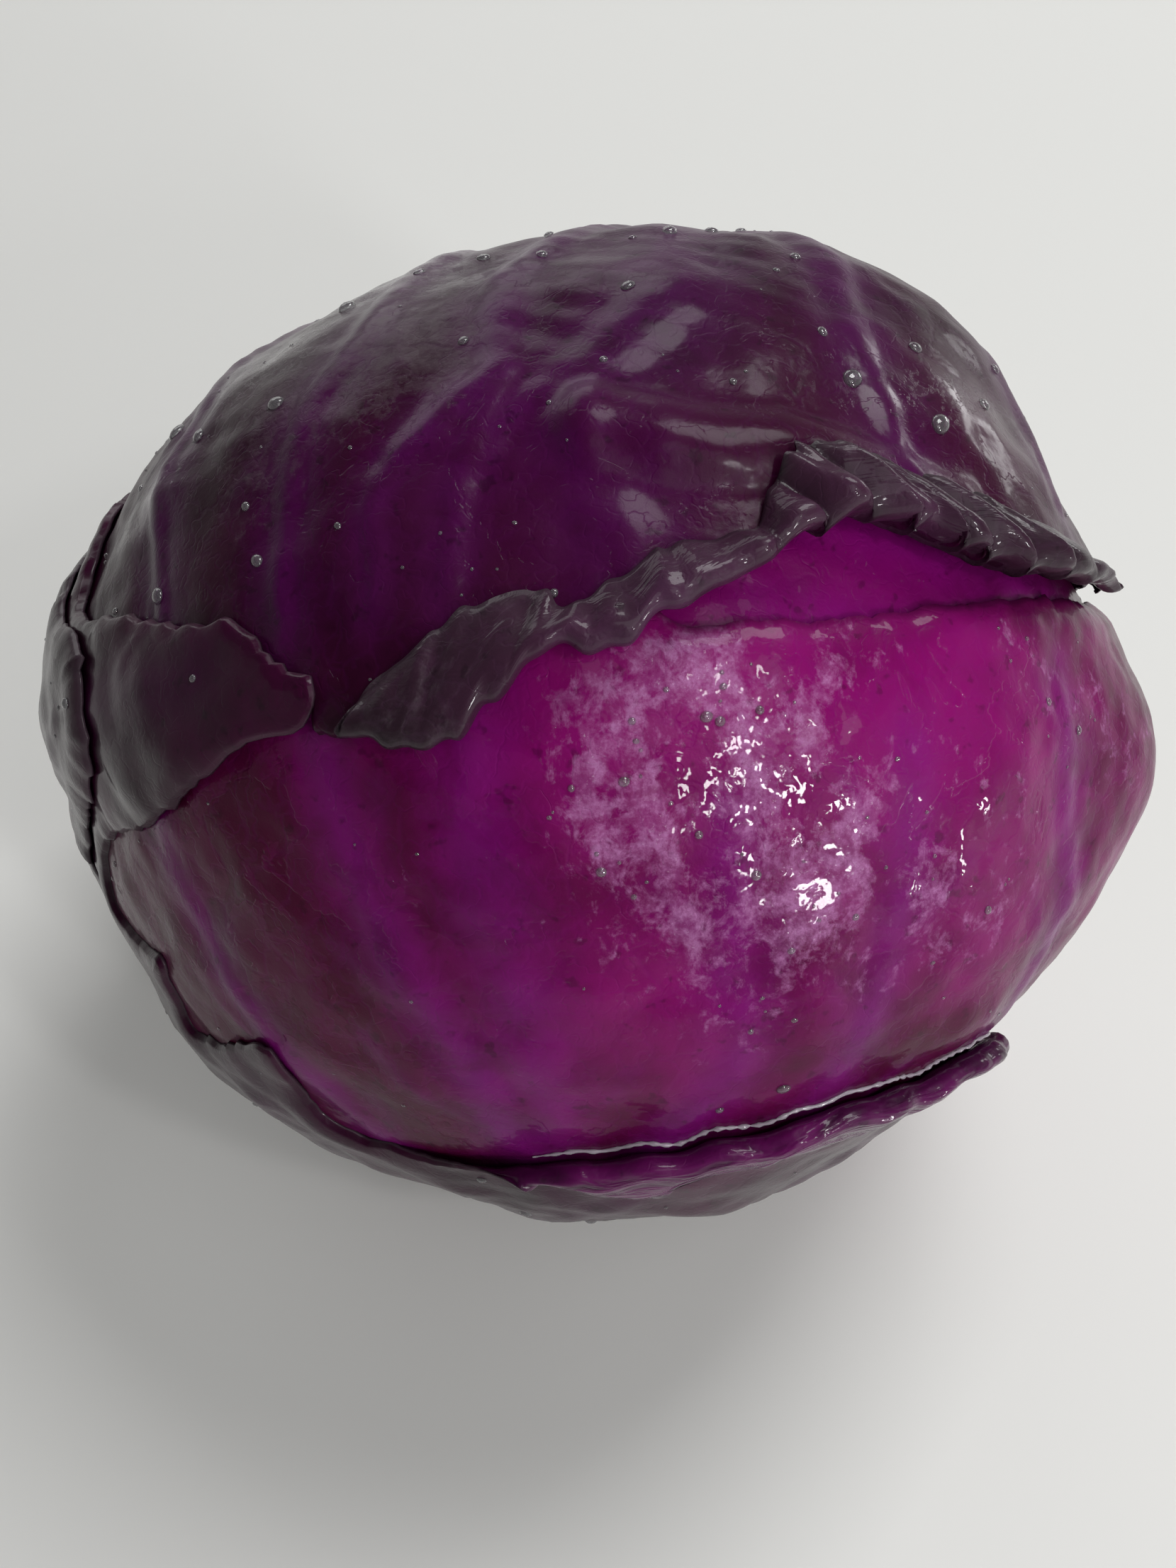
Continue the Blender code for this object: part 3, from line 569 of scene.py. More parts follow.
print("A rolled strip has", TURN_ROWS + TAIL_ROWS, "rows, a flat one", FLAT_ROWS)

# %% [markdown]
# Colour and wax change over a leaf in ways that no noise can guess: the rubbed side, and the places
# where water has washed the wax off or still stands. The strokes also paint light: on the bright leaf
# the tone strokes paint shade on its left and low parts, and on the bright and crown leaves the wax
# strokes paint sheen where they catch the light. They are laid on like strokes of a soft brush, each
# with a place, a width, a length, a turn and a strength, and the materials read them as attributes.

# %% Soft strokes of tone and wax
def strokes(q, ground, marks):
    """Ground value with brush strokes added, from 0 to 1."""
    total = np.full(len(q), float(ground))
    for lon, lat, wide, long, turn, amount in marks:
        flat = Chart(lon, lat).flat(q)
        c, s = math.cos(math.radians(turn)), math.sin(math.radians(turn))
        across = (c * flat[:, 0] + s * flat[:, 1]) / wide
        along = (c * flat[:, 1] - s * flat[:, 0]) / long
        total += amount * np.exp(-(across ** 2) - along ** 2)
    return np.clip(total, 0, 1)


# Tone strokes of the bright leaf, partly painted shade: deep on its left and low parts, which turn away
# from the light.
BRIGHT_TONE_AND_SHADE = (
    (-45, 20, 34, 50, 10, -0.55), (-20, 12, 22, 20, 0, -0.25), (20, 42, 45, 26, 0, 0.35),
    (24, 6, 26, 12, 0, -0.32), (0, 54, 40, 9, 0, 0.35), (55, 30, 22, 30, 0, 0.15),
    (10, -4, 50, 12, 0, -0.25), (6, 20, 16, 18, 0, 0.3),
)
# Pale lilac wax strokes on the bright leaf, placed where the window light falls: wax bloom and painted
# sheen.
BRIGHT_WAX_AND_SHEEN = (
    (9, 54.5, 9, 4.5, 0, 0.60), (17, 47, 3.5, 12, 6, 0.62), (6, 42.5, 2.2, 13, 4, 0.55),
    (1, 47, 3.5, 10, 8, 0.30), (28, 49.5, 5, 3, -10, 0.50), (24, 46, 3, 3.5, 0, 0.50),
    (27, 37, 3.2, 11, -32, 0.66), (19, 32.5, 8, 7, 0, 0.48), (34, 30, 3.2, 6, -10, 0.50),
    (45, 33, 9, 6, -15, 0.34), (9, 30, 2.5, 7, 0, 0.42), (37, 53, 8, 4, 0, 0.34), (-4, 49, 4, 12, 8, 0.28),
    (66, 27, 5, 22, 0, 0.40), (12, 20, 6, 9, 0, 0.24), (58, 40, 4, 12, 10, 0.34), (-24, 34, 6, 6, 0, 0.16),
    (52, 12, 7, 12, 0, 0.22), (14, 38, 18, 18, 0, 0.24), (22, 22, 12, 8, 0, 0.14), (74, 10, 6, 24, 0, 0.36),
    (2, 33, 5, 12, 6, 0.22), (30, 24, 12, 7, 0, 0.18), (-1, 42, 2.5, 8, 8, 0.30), (40, 41, 6, 3, -10, 0.30),
    (43, 24, 6, 6, -20, 0.36), (36, 21, 7, 5, 0, 0.28),
)
BRIGHT_WET = ((22, 40, 20, 20, 0, 0.75), (52, 30, 20, 30, 0, 0.45), (12, 6, 40, 5, 0, 0.35))
CROWN_TONE = (
    (-35, 72, 22, 20, 0, 0.45), (10, 68, 26, 14, 0, 0.35), (60, 68, 26, 22, 0, 0.35),
    (-105, 66, 28, 26, 0, -0.45), (172, 30, 60, 50, 0, 0.12), (85, 50, 14, 20, 0, 0.25),
)
# Grey wax strokes on the crown leaf: wax bloom, and painted sheen at its upper left and at the right end of
# its rolled rim.
CROWN_WAX_AND_SHEEN = (
    (-112, 64, 26, 18, 0, 0.62), (-84, 76, 16, 10, 0, 0.42), (155, 72, 26, 16, 0, 0.36),
    (-66, 56, 12, 14, 0, 0.30), (18, 66, 12, 4, 0, 0.12), (92, 55, 8, 26, 30, 0.45),
    (60, 74, 22, 8, 0, 0.22), (20, 80, 14, 8, 0, 0.16), (78, 40, 14, 8, 0, 0.45), (-22, 49, 8, 6, 0, 0.30),
    (200, 20, 40, 36, 0, 0.34), (140, 0, 30, 30, 0, 0.26),
)
CROWN_WET = (
    (-140, 58, 14, 24, 0, 0.9), (-106, 55, 9, 14, 0, 0.85), (-85, 43, 6, 12, 0, 0.8),
    (87, 58, 7, 18, 15, 0.9), (74, 47, 5, 9, 0, 0.8), (-150, 30, 20, 30, 0, 0.5),
)
COLLAR_TONE = ((-45, 33, 16, 16, 0, 0.08), (8, 2, 30, 7, 0, 0.85), (0, -30, 40, 30, 0, 0.15))
COLLAR_WAX = ((-60, 34, 9, 20, 0, 0.32), (-36, 43, 8, 8, 0, 0.28), (-20, -20, 40, 30, 0, 0.25))
SIDE_TONE = ((-70, 10, 20, 30, 0, 0.15),)
SIDE_WAX = ((-63, 24, 6, 22, 0, 0.45), (-110, -10, 40, 40, 0, 0.30))
UNDER_TONE = ((35, 62, 34, 16, 0, 0.75), (80, 30, 20, 40, 0, -0.2))
UNDER_WAX = ((66, 50, 8, 8, 0, 0.22),)
UNDER_WET = ((45, 60, 30, 16, 0, 0.5),)
print("Strokes of wax on the bright leaf:", len(BRIGHT_WAX_AND_SHEEN))

# %% [markdown]
# With all this a leaf can be described: its layer, its map, its ribs and folds as curves, its margin
# and its strip. From that it can say how high its blade lies anywhere, how much rib colour shows
# there, and what other leaves cover. The border is where the body of the leaf ends and the strip
# begins.

# %% Helpers for objects and attributes
def linked(name, data):
    thing = bpy.data.objects.new(name, data)
    bpy.context.scene.collection.objects.link(thing)
    return thing


def write_values(mesh, name, values):
    mesh.attributes.new(name, "FLOAT", "POINT").data.foreach_set("value", np.array(values, np.float32))


# %% One leaf
BLADE = 0.9 * MM
LAYER_STEP = 2.2 * MM
BRIGHT_LAYER = -0.45 * MM
BULGE = 0.22 * MM
BULGE_REACH = 7
RIB_SPREAD = 1.6
RIB_LOW = 0.65
made_leaves = []


class Leaf:
    def __init__(self, name, layer, middle, margin, ribs, tone, wax, folds=(), free=(), fray=0.4, seed=10,
                 settles=False, glow=((0.85, 0.75), (0.36, 0.6)), wet=()):
        self.name, self.layer, self.settles, self.glow = name, layer, settles, glow
        self.tone, self.wax, self.wet = tone, wax, wet
        self.chart = Chart(*middle)
        self.ribs, self.folds = (
            [(wide, high, rib_run(self.chart, run)) for wide, high, run in runs] for runs in (ribs, folds))
        draw = np.random.default_rng(seed)
        self.branches = [b for _, _, run in self.ribs for b in side_ribs(run, draw)]
        self.curve, self.away, self.travel = margin_curve(self.chart, margin, free, fray, seed)
        self.rows = strip_rows(self.curve, self.travel, len(free) > 0, seed)
        reach = np.max([row[0] for row in self.rows], axis=0)
        self.border = self.curve[:, :2] - self.away * reach[:, None]
        pleat = self.curve[:, 4] * (len(free) > 0)
        self.cleft = (1 - ruffles(self.travel, self.curve[:, 4], seed)) ** 1.5 * pleat
        self.covered_by = list(made_leaves)
        made_leaves.append(self)

    def blade(self, flat, q):
        """Height of the middle of the blade, and of the ribs on its outer face."""
        gap = np.min([nearest(run, flat)[0] for _, _, run in self.ribs], axis=0)
        bulge = BULGE * (1 - np.exp(-((gap / BULGE_REACH) ** 2)))
        base = self.layer + raised(self.folds, flat) + puckers(q) + bulge
        if self.settles:
            base = base + settled(q)
        thick = [(RIB_SPREAD * wide, RIB_LOW * high, run) for wide, high, run in self.ribs]
        return base, np.maximum(raised(thick, flat), raised(self.branches, flat))

    def outer_point(self, q, above=0.0):
        base, rib = self.blade(self.chart.flat(q), q)
        return on_head(q, base + BLADE / 2 + rib + above)

    def rib_glow(self, flat):
        """How much rib colour shows: strong on the thick ribs, faint on the side ribs."""
        glow = np.zeros(len(flat))
        for (strength, spread), runs in zip(self.glow, (self.ribs, self.branches)):
            for wide, _, run in runs:
                gap, share = nearest(run, flat)
                fading = strength * (1 - 0.35 * share)
                glow = np.maximum(glow, fading * np.exp(-((gap / (spread * wide)) ** 2)))
        return glow

    def covered(self, q):
        """True where another leaf lies over this one."""
        hidden = np.zeros(len(q), bool)
        for other in self.covered_by:
            hidden |= inside(other.curve[::3, :2], other.chart.flat(q))
        return hidden


print("A leaf's blade is", round(BLADE / MM, 2), "mm thick")

# %% [markdown]
# The body of a leaf is a net of even triangles inside the border. Its inner points are a grid of
# triangles, and a Delaunay mesh joins them to the border without slivers.

# %% A net of triangles inside a border
NET_STEP = 1.35


def net(border):
    """Points, faces, and which of the points are the border."""
    low, high = border.min(0), border.max(0)
    grid = []
    for r, y in enumerate(np.arange(low[1], high[1], NET_STEP * math.sqrt(0.75))):
        x = np.arange(low[0] + (r % 2) * NET_STEP / 2, high[0], NET_STEP)
        grid.append(np.stack([x, np.full(len(x), y)], 1))
    grid = np.vstack(grid)
    grid = grid[inside(border, grid)]
    gap, _ = nearest(np.vstack([border, border[:1]]), grid)
    points = np.vstack([border, grid[gap > 0.5 * NET_STEP]])
    count = len(border)
    flat, _, faces, origins, _, _ = delaunay_2d_cdt(
        [Vector(p) for p in points], [], [list(range(count))], 1, 1e-5)
    where = {source: i for i, sources in enumerate(origins) for source in sources}
    ring = np.array([where[i] for i in range(count)])
    return np.array([tuple(p) for p in flat]), np.array(faces), ring


print("A square of 40 mm gets", len(net(np.array(square, float))[1]), "triangles")

# %% [markdown]
# The strip goes on from the border, row by row, as two skins with the blade between them. It thins
# out towards the edge. Where it is folded back it is crumpled, and it is kept clear of the ribs that
# it comes to lie on.

# %% The rows of the strip in space
EDGE_BLADE = 0.40 * MM
THINNING = 0.7
RIM_ROWS = 1.6


def strip_in_space(leaf, edge_q, edge_base):
    """For each row: points of the outer and the inner skin, and what is known about them."""
    normal = outward(edge_q)
    tangent = on_head(leaf.chart.sphere(leaf.border + leaf.away * 0.5), edge_base)
    tangent -= on_head(edge_q, edge_base)
    tangent -= np.sum(tangent * normal, 1, keepdims=True) * normal
    tangent /= np.linalg.norm(tangent, axis=1, keepdims=True)
    sidelong = np.stack([-leaf.away[:, 1], leaf.away[:, 0]], 1)
    walked, before = np.zeros(len(edge_q)), np.zeros(len(edge_q))
    for k, (out, high, sideways, slope) in enumerate(leaf.rows):
        last = (k + 1) / len(leaf.rows)
        thick = BLADE + (EDGE_BLADE - BLADE) * last ** THINNING
        place = leaf.border + leaf.away * out[:, None] + sidelong * sideways[:, None]
        place_q = leaf.chart.sphere(place)
        base, rib = leaf.blade(place, place_q)
        back = np.clip((-np.cos(slope) - 0.5) * 2, 0, 1)
        crumple = sum(size * waves(place_q * HALF, reach, seed) for reach, size, seed in CRUMPLES)
        high = high + back * last * crumple
        lowest = rib / MM + 0.5 * (BLADE + thick) / MM + CLEAR * last
        high = np.where(back > 0, np.maximum(high, back * lowest), high)
        spot = on_head(place_q, base + high * MM)
        lean = normal * np.cos(slope)[:, None] - tangent * np.sin(slope)[:, None]
        walked = walked + np.abs(out - before) + 0.05
        before = out
        rim = np.full(len(edge_q), max(0.0, 1 - (1 - last) * len(leaf.rows) / RIM_ROWS))
        yield (spot + lean * thick / 2, spot - lean * thick / 2), {
            "flat": leaf.border + leaf.away * walked[:, None], "q": edge_q, "rim": rim,
            "along": leaf.travel, "across": walked, "cleft": leaf.cleft}


print("The edge of a leaf is", round(EDGE_BLADE / MM, 2), "mm thick")

# %% [markdown]
# Body and strip together make one closed skin. The net is laid on the head twice, once for the outer
# skin, which is material 0, and once for the inner one, which is material 1, and the strip closes it
# along the edge.

# %% The closed skin of a leaf
RIM_FADE = 0.9


def leaf_shape(leaf):
    """Points, triangles, the material of each triangle, and what is known about the points."""
    flat, faces, ring = net(leaf.border)
    q = leaf.chart.sphere(flat)
    base, rib = leaf.blade(flat, q)
    body, count = len(flat), len(ring)
    vertices = [on_head(q, base + BLADE / 2 + rib), on_head(q, base - BLADE / 2)]
    triangles = [faces, faces[:, ::-1] + body]
    skins = [np.zeros(len(faces), int), np.ones(len(faces), int)]
    gap, _ = nearest(np.vstack([leaf.curve[:, :2], leaf.curve[:1, :2]]), flat)
    blank = np.zeros(body)
    known = {"flat": flat, "q": q, "rim": np.exp(-gap / RIM_FADE), "along": blank, "across": blank,
             "cleft": blank}
    record = {key: [value, value] for key, value in known.items()}
    here = np.arange(count)
    beside = (here + 1) % count
    old, start = (ring, ring + body), 2 * body
    for both, known in strip_in_space(leaf, q[ring], base[ring]):
        vertices += both
        for key, value in known.items():
            record[key] += [value, value]
        new = (start + here, start + count + here)
        for skin in (0, 1):
            a, b, c, d = old[skin][here], new[skin][here], new[skin][beside], old[skin][beside]
            pair = np.vstack([np.stack([a, b, c], 1), np.stack([a, c, d], 1)])
            triangles.append(pair if skin == 0 else pair[:, ::-1])
            skins.append(np.full(len(pair), skin))
        old, start = new, start + 2 * count
    top, low = old
    triangles.append(np.vstack([np.stack([top[here], low[here], low[beside]], 1),
                                np.stack([top[here], low[beside], top[beside]], 1)]))
    skins.append(np.zeros(2 * count, int))
    record = {key: np.concatenate(parts) for key, parts in record.items()}
    return np.vstack(vertices), np.vstack(triangles), np.concatenate(skins), body, record


print("The rim's colour fades over", RIM_FADE, "mm")

# %% [markdown]
# Now the skin becomes an object. What is known about its points is written on them as attributes, for
# the materials: where they are rib, rim, base, wax, water, cleft or tone, how far along and across
# the strip they lie, and whether another leaf covers them. The leaf's own map becomes a UV map.

# %% A leaf as an object
TONE_GROUND = 0.35
WAX_GROUND = 0.08
BASE_BELOW = -20
BASE_FADE = 50
UNDERSIDE = -0.8
MAP_SPAN = 500


def made_leaf(leaf):
    vertices, triangles, skins, body, record = leaf_shape(leaf)
    flat, q = record.pop("flat"), record.pop("q")
    mesh = bpy.data.meshes.new(leaf.name)
    mesh.from_pydata(vertices.tolist(), [], triangles.tolist())
    mesh.polygons.foreach_set("material_index", skins.astype(np.int32))
    mesh.polygons.foreach_set("use_smooth", np.ones(len(triangles), bool))
    open_skin = np.zeros(len(vertices))
    open_skin[:body] = ~leaf.covered(q[:body]) & (q[:body, 2] > UNDERSIDE)
    latitude = np.degrees(np.arcsin(np.clip(q[:, 2], -1, 1)))
    values = {
        "rib": leaf.rib_glow(flat),
        "base": np.clip((BASE_BELOW - latitude) / BASE_FADE, 0, 1),
        "tone": strokes(q, TONE_GROUND, leaf.tone),
        "wax": strokes(q, WAX_GROUND, leaf.wax),
        "wet": strokes(q, 0.0, leaf.wet),
        "open_skin": open_skin,
        **record,
    }
    for name, value in values.items():
        write_values(mesh, name, value)
    corners = np.zeros(len(mesh.loops), np.int32)
    mesh.loops.foreach_get("vertex_index", corners)
    layer = mesh.uv_layers.new(name="leaf_map")
    layer.data.foreach_set("uv", (flat[corners] / MAP_SPAN + 0.5).astype(np.float32).ravel())
    mesh.update()
    print(leaf.name, "has", len(triangles), "triangles and", len(leaf.branches), "side ribs")
    return linked(leaf.name, mesh)


print("The leaf map spans", MAP_SPAN, "mm, so that every leaf fits on it")

# %% [markdown]
# The leaves are made from the outside in, so that each knows what lies over it.

# %% The five leaves
side = Leaf("side_leaf", BRIGHT_LAYER + 3 * LAYER_STEP, (-100, -16), SIDE_MARGIN, SIDE_RIBS, SIDE_TONE,
            SIDE_WAX, fray=0.75, seed=51, settles=True)
collar = Leaf("collar_leaf", BRIGHT_LAYER + 2 * LAYER_STEP, (-42, -18), COLLAR_MARGIN, COLLAR_RIBS,
              COLLAR_TONE, COLLAR_WAX, free=COLLAR_FREE, fray=0.4, seed=41, settles=True)
crown = Leaf("crown_leaf", BRIGHT_LAYER + LAYER_STEP, (176, 24), CROWN_MARGIN, CROWN_RIBS, CROWN_TONE,
             CROWN_WAX_AND_SHEEN, folds=CROWN_FOLDS, free=CROWN_FREE, fray=0.4, seed=31,
             glow=((0.75, 1.0), (0.28, 0.8)), wet=CROWN_WET)
bright = Leaf("bright_leaf", BRIGHT_LAYER, (5, -6), BRIGHT_MARGIN, BRIGHT_RIBS, BRIGHT_TONE_AND_SHADE, BRIGHT_WAX_AND_SHEEN,
              fray=0.3, seed=21, wet=BRIGHT_WET)
under = Leaf("under_leaf", BRIGHT_LAYER - LAYER_STEP, (95, 5), UNDER_MARGIN, UNDER_RIBS, UNDER_TONE,
             UNDER_WAX, fray=0.3, seed=11, wet=UNDER_WET)
pieces = {leaf.name: made_leaf(leaf) for leaf in made_leaves}
print("Leaves:", ", ".join(pieces))

# %% [markdown]
# The skin of the leaf is built from nodes. Three things make it: the pigment, which is deep between
# the ribs and violet on them; the bloom of wax, a pale dull film that is broken up where water ran
# over it, and whose pale colour on the bright and crown leaves is also painted sheen of the light; and
# the water itself, a clear smooth coat over everything that isn't waxy. The coat is its own layer in
# the shader, so that it can be smooth while the skin beneath it is rough.

# %% Small helpers for node trees
def add(tree, kind, sockets=None, **settings):
    node = tree.nodes.new(kind)
    for key, value in settings.items():
        setattr(node, key, value)
    for key, value in (sockets or {}).items():
        if isinstance(value, bpy.types.NodeSocket):
            tree.links.new(value, node.inputs[key])
        else:
            node.inputs[key].default_value = value
    return node


def on_object(tree):
    return add(tree, "ShaderNodeTexCoord").outputs["Object"]


def noise(tree, where, scale, detail=3.0, rough=0.55, warp=0.0):
    sockets = {"Vector": where, "Scale": scale, "Detail": detail, "Roughness": rough, "Distortion": warp}
    return add(tree, "ShaderNodeTexNoise", sockets).outputs["Fac"]


def attribute(tree, name):
    return add(tree, "ShaderNodeAttribute", attribute_name=name).outputs["Fac"]


def calc(tree, operation, *values):
    return add(tree, "ShaderNodeMath", dict(enumerate(values)), operation=operation).outputs[0]


def times(tree, first, second):
    return calc(tree, "MULTIPLY", first, second)


def plus(tree, first, second):
    return calc(tree, "ADD", first, second)


def swing(tree, value, reach):
    """A value from 0 to 1 made to swing evenly round 0."""
    return calc(tree, "MULTIPLY_ADD", value, reach, -0.5 * reach)


print("Sockets take a value or a link")

# %% [markdown]
# The rest of the helpers shape values, mix colours and make bumps.

# %% Helpers that shape, mix and bump
def soft_step(tree, value, low, high, start=0.0, end=1.0):
    sockets = {"Value": value, "From Min": low, "From Max": high, "To Min": start, "To Max": end}
    return add(tree, "ShaderNodeMapRange", sockets, interpolation_type="SMOOTHSTEP").outputs["Result"]


def blend(tree, share, first, second):
    first, second = (c if isinstance(c, bpy.types.NodeSocket) else (*c, 1.0) for c in (first, second))
    sockets = {0: share, 6: first, 7: second}
    return add(tree, "ShaderNodeMix", sockets, data_type="RGBA").outputs[2]


def bump(tree, height, distance, under=None):
    sockets = {"Height": height, "Distance": distance}
    if under is not None:
        sockets["Normal"] = under
    return add(tree, "ShaderNodeBump", sockets).outputs["Normal"]


def new_material(name):
    material = bpy.data.materials.new(name)
    material.use_nodes = True
    tree = material.node_tree
    return material, tree, tree.nodes["Principled BSDF"]


def join(tree, value, shader, socket):
    tree.links.new(value, shader.inputs[socket])


def tinted(colour, share):
    return tuple(share * c for c in colour)


print("A colour at half strength:", tinted((0.2, 0.1, 0.2), 0.5))

# %% [markdown]
# Pigment first. It runs from deep to vivid by the tone strokes and a broad noise; on the bright leaf the
# tone strokes also paint shade, deep on its left and low parts, which turn away from the light. It is
# violet on the ribs, and pale where the thick ribs come to the stem. A fine net of veins lies in between,
# made with Voronoi cells whose borders are drawn, and small dark freckles are strewn over it.

# %% Pigment, veins and freckles
STEM_PALE = (0.42, 0.30, 0.36)


def pigment(tree, place, mottle, deep, vivid, rib, freckles):
    tone = plus(tree, attribute(tree, "tone"), swing(tree, noise(tree, place, 42, 3), 1.2))
    tone = plus(tree, tone, swing(tree, mottle, 0.5))
    colour = blend(tree, soft_step(tree, tone, 0.0, 1.0), deep, vivid)
    ribs = times(tree, attribute(tree, "rib"), soft_step(tree, mottle, 0.25, 0.65, 0.45, 1.0))
    colour = blend(tree, ribs, colour, rib)
    pale = times(tree, attribute(tree, "base"), soft_step(tree, attribute(tree, "rib"), 0.25, 0.9))
    colour = blend(tree, times(tree, pale, 0.85), colour, STEM_PALE)

    warp = noise(tree, place, 260, 2)
    warp = add(tree, "ShaderNodeVectorMath", {0: place, 1: warp}, operation="MULTIPLY")
    warped = add(tree, "ShaderNodeMix", {0: 0.12, 4: place, 5: warp.outputs[0]}, data_type="VECTOR")
    cells = add(tree, "ShaderNodeTexVoronoi", {"Vector": warped.outputs[1], "Scale": 230.0, "Detail": 0.0},
                feature="DISTANCE_TO_EDGE")
    veins = soft_step(tree, cells.outputs["Distance"], 0.0, 0.12, 1.0, 0.0)
    colour = blend(tree, times(tree, veins, 0.08), colour, rib)
    spots = soft_step(tree, noise(tree, place, 420, 2), 0.62, 0.72)
    return blend(tree, times(tree, spots, freckles), colour, tinted(deep, 0.35)), veins


print("Stems are pale:", STEM_PALE)

# %% [markdown]
# Then the bloom. It lies where the strokes of wax say, but water has run through it, so its edge is
# torn up by a noise that is drawn out a little down the leaf. On the bright and crown leaves its pale
# colour is also painted sheen of the light. Cloudy and grainy noises thin it from within, and the
# grainy speckle paints a haze of tiny glints. Where it is thickest, single grains stand out nearly
# white: grains of wax with painted glints.

# %% Bloom of wax, with painted sheen
def wax_film(tree, fine, ragged, lift):
    """How thick the wax and its painted sheen lie; below about 0.4 there is none."""
    chart = add(tree, "ShaderNodeUVMap", uv_map="leaf_map").outputs["UV"]
    drawn_out = add(tree, "ShaderNodeMapping", {"Vector": chart, "Scale": (1.0, 0.75, 1.0)})
    film = swing(tree, noise(tree, drawn_out.outputs["Vector"], 150, 6, 0.72, 0.35), ragged)
    film = plus(tree, film, swing(tree, fine, 0.5))
    return plus(tree, plus(tree, film, attribute(tree, "wax")), lift)


def bloomed(tree, place, colour, film, mask, wax, wax_share, grainy, wax_grains_and_glints):
    # The pale bloom colour is wax and, on the bright and crown leaves, painted sheen; the speckle paints
    # tiny glints.
    cloud = soft_step(tree, noise(tree, place, 420, 4, 0.70), 0.36, 0.62, 0.25, 1.0)
    speckle = soft_step(tree, noise(tree, place, 1900, 4, 0.75), 0.36, 0.64, grainy, 1.0)
    bloom = times(tree, times(tree, mask, cloud), speckle)
    colour = blend(tree, times(tree, bloom, wax_share), colour, wax)
    if wax_grains_and_glints is None:
        return colour
    # Grains nearly white where the wax is thickest: grains of wax and painted glints.
    glinting_grains = soft_step(tree, noise(tree, place, 1500, 4, 0.8), 0.56, 0.68)
    glinting_grains = times(tree, glinting_grains, soft_step(tree, film, 0.68, 1.05))
    return blend(tree, times(tree, glinting_grains, 0.45), colour, wax_grains_and_glints)


print("Wax is drawn on the leaf's own map, so that it follows the leaf")

# %% [markdown]
# A rolled rim has long creases along it, and clefts between its ruffles. Both get painted shade: their
# colour is darkened. They are drawn on the strip's own two measures, how far along it and how far
# across it a point lies. The noise is pressed together across the strip, so that what it draws runs
# along it.

# %% Creases and clefts of a rolled rim
def creased(tree, colour, painted_shade_colour, creases):
    """Colour with painted shade in the creases and clefts, and the bump that the creases make."""
    across = attribute(tree, "across")
    strip = add(tree, "ShaderNodeCombineXYZ", {"X": times(tree, attribute(tree, "along"), 0.07),
                                               "Y": times(tree, across, 0.42)}).outputs[0]
    crease = noise(tree, strip, 1.0, 3, 0.6, 0.6)
    share = times(tree, soft_step(tree, across, 0.2, 2.0), creases)
    # Painted shade: the colour darkens in the valleys of the creases and in the clefts between ruffles.
    valley_shade = times(tree, soft_step(tree, crease, 0.30, 0.55, 1.0, 0.0), share)
    colour = blend(tree, times(tree, valley_shade, 0.75), colour, painted_shade_colour)
    colour = blend(tree, times(tree, attribute(tree, "cleft"), 0.8), colour, painted_shade_colour)
    return colour, bump(tree, times(tree, crease, share), 0.0016)


print("Creases run along the roll")

# %% [markdown]
# One recipe serves every skin, with its own pigments and its own share of wax. Water is the coat. It
# is smooth but not flat: it swells with the skin beneath it, and sheets of it end in low steps. Those
# steps and swellings break the reflections of the window panes up into the glints of a wet leaf.

# %% The recipe for leaf skin
WATER_IOR = 1.33


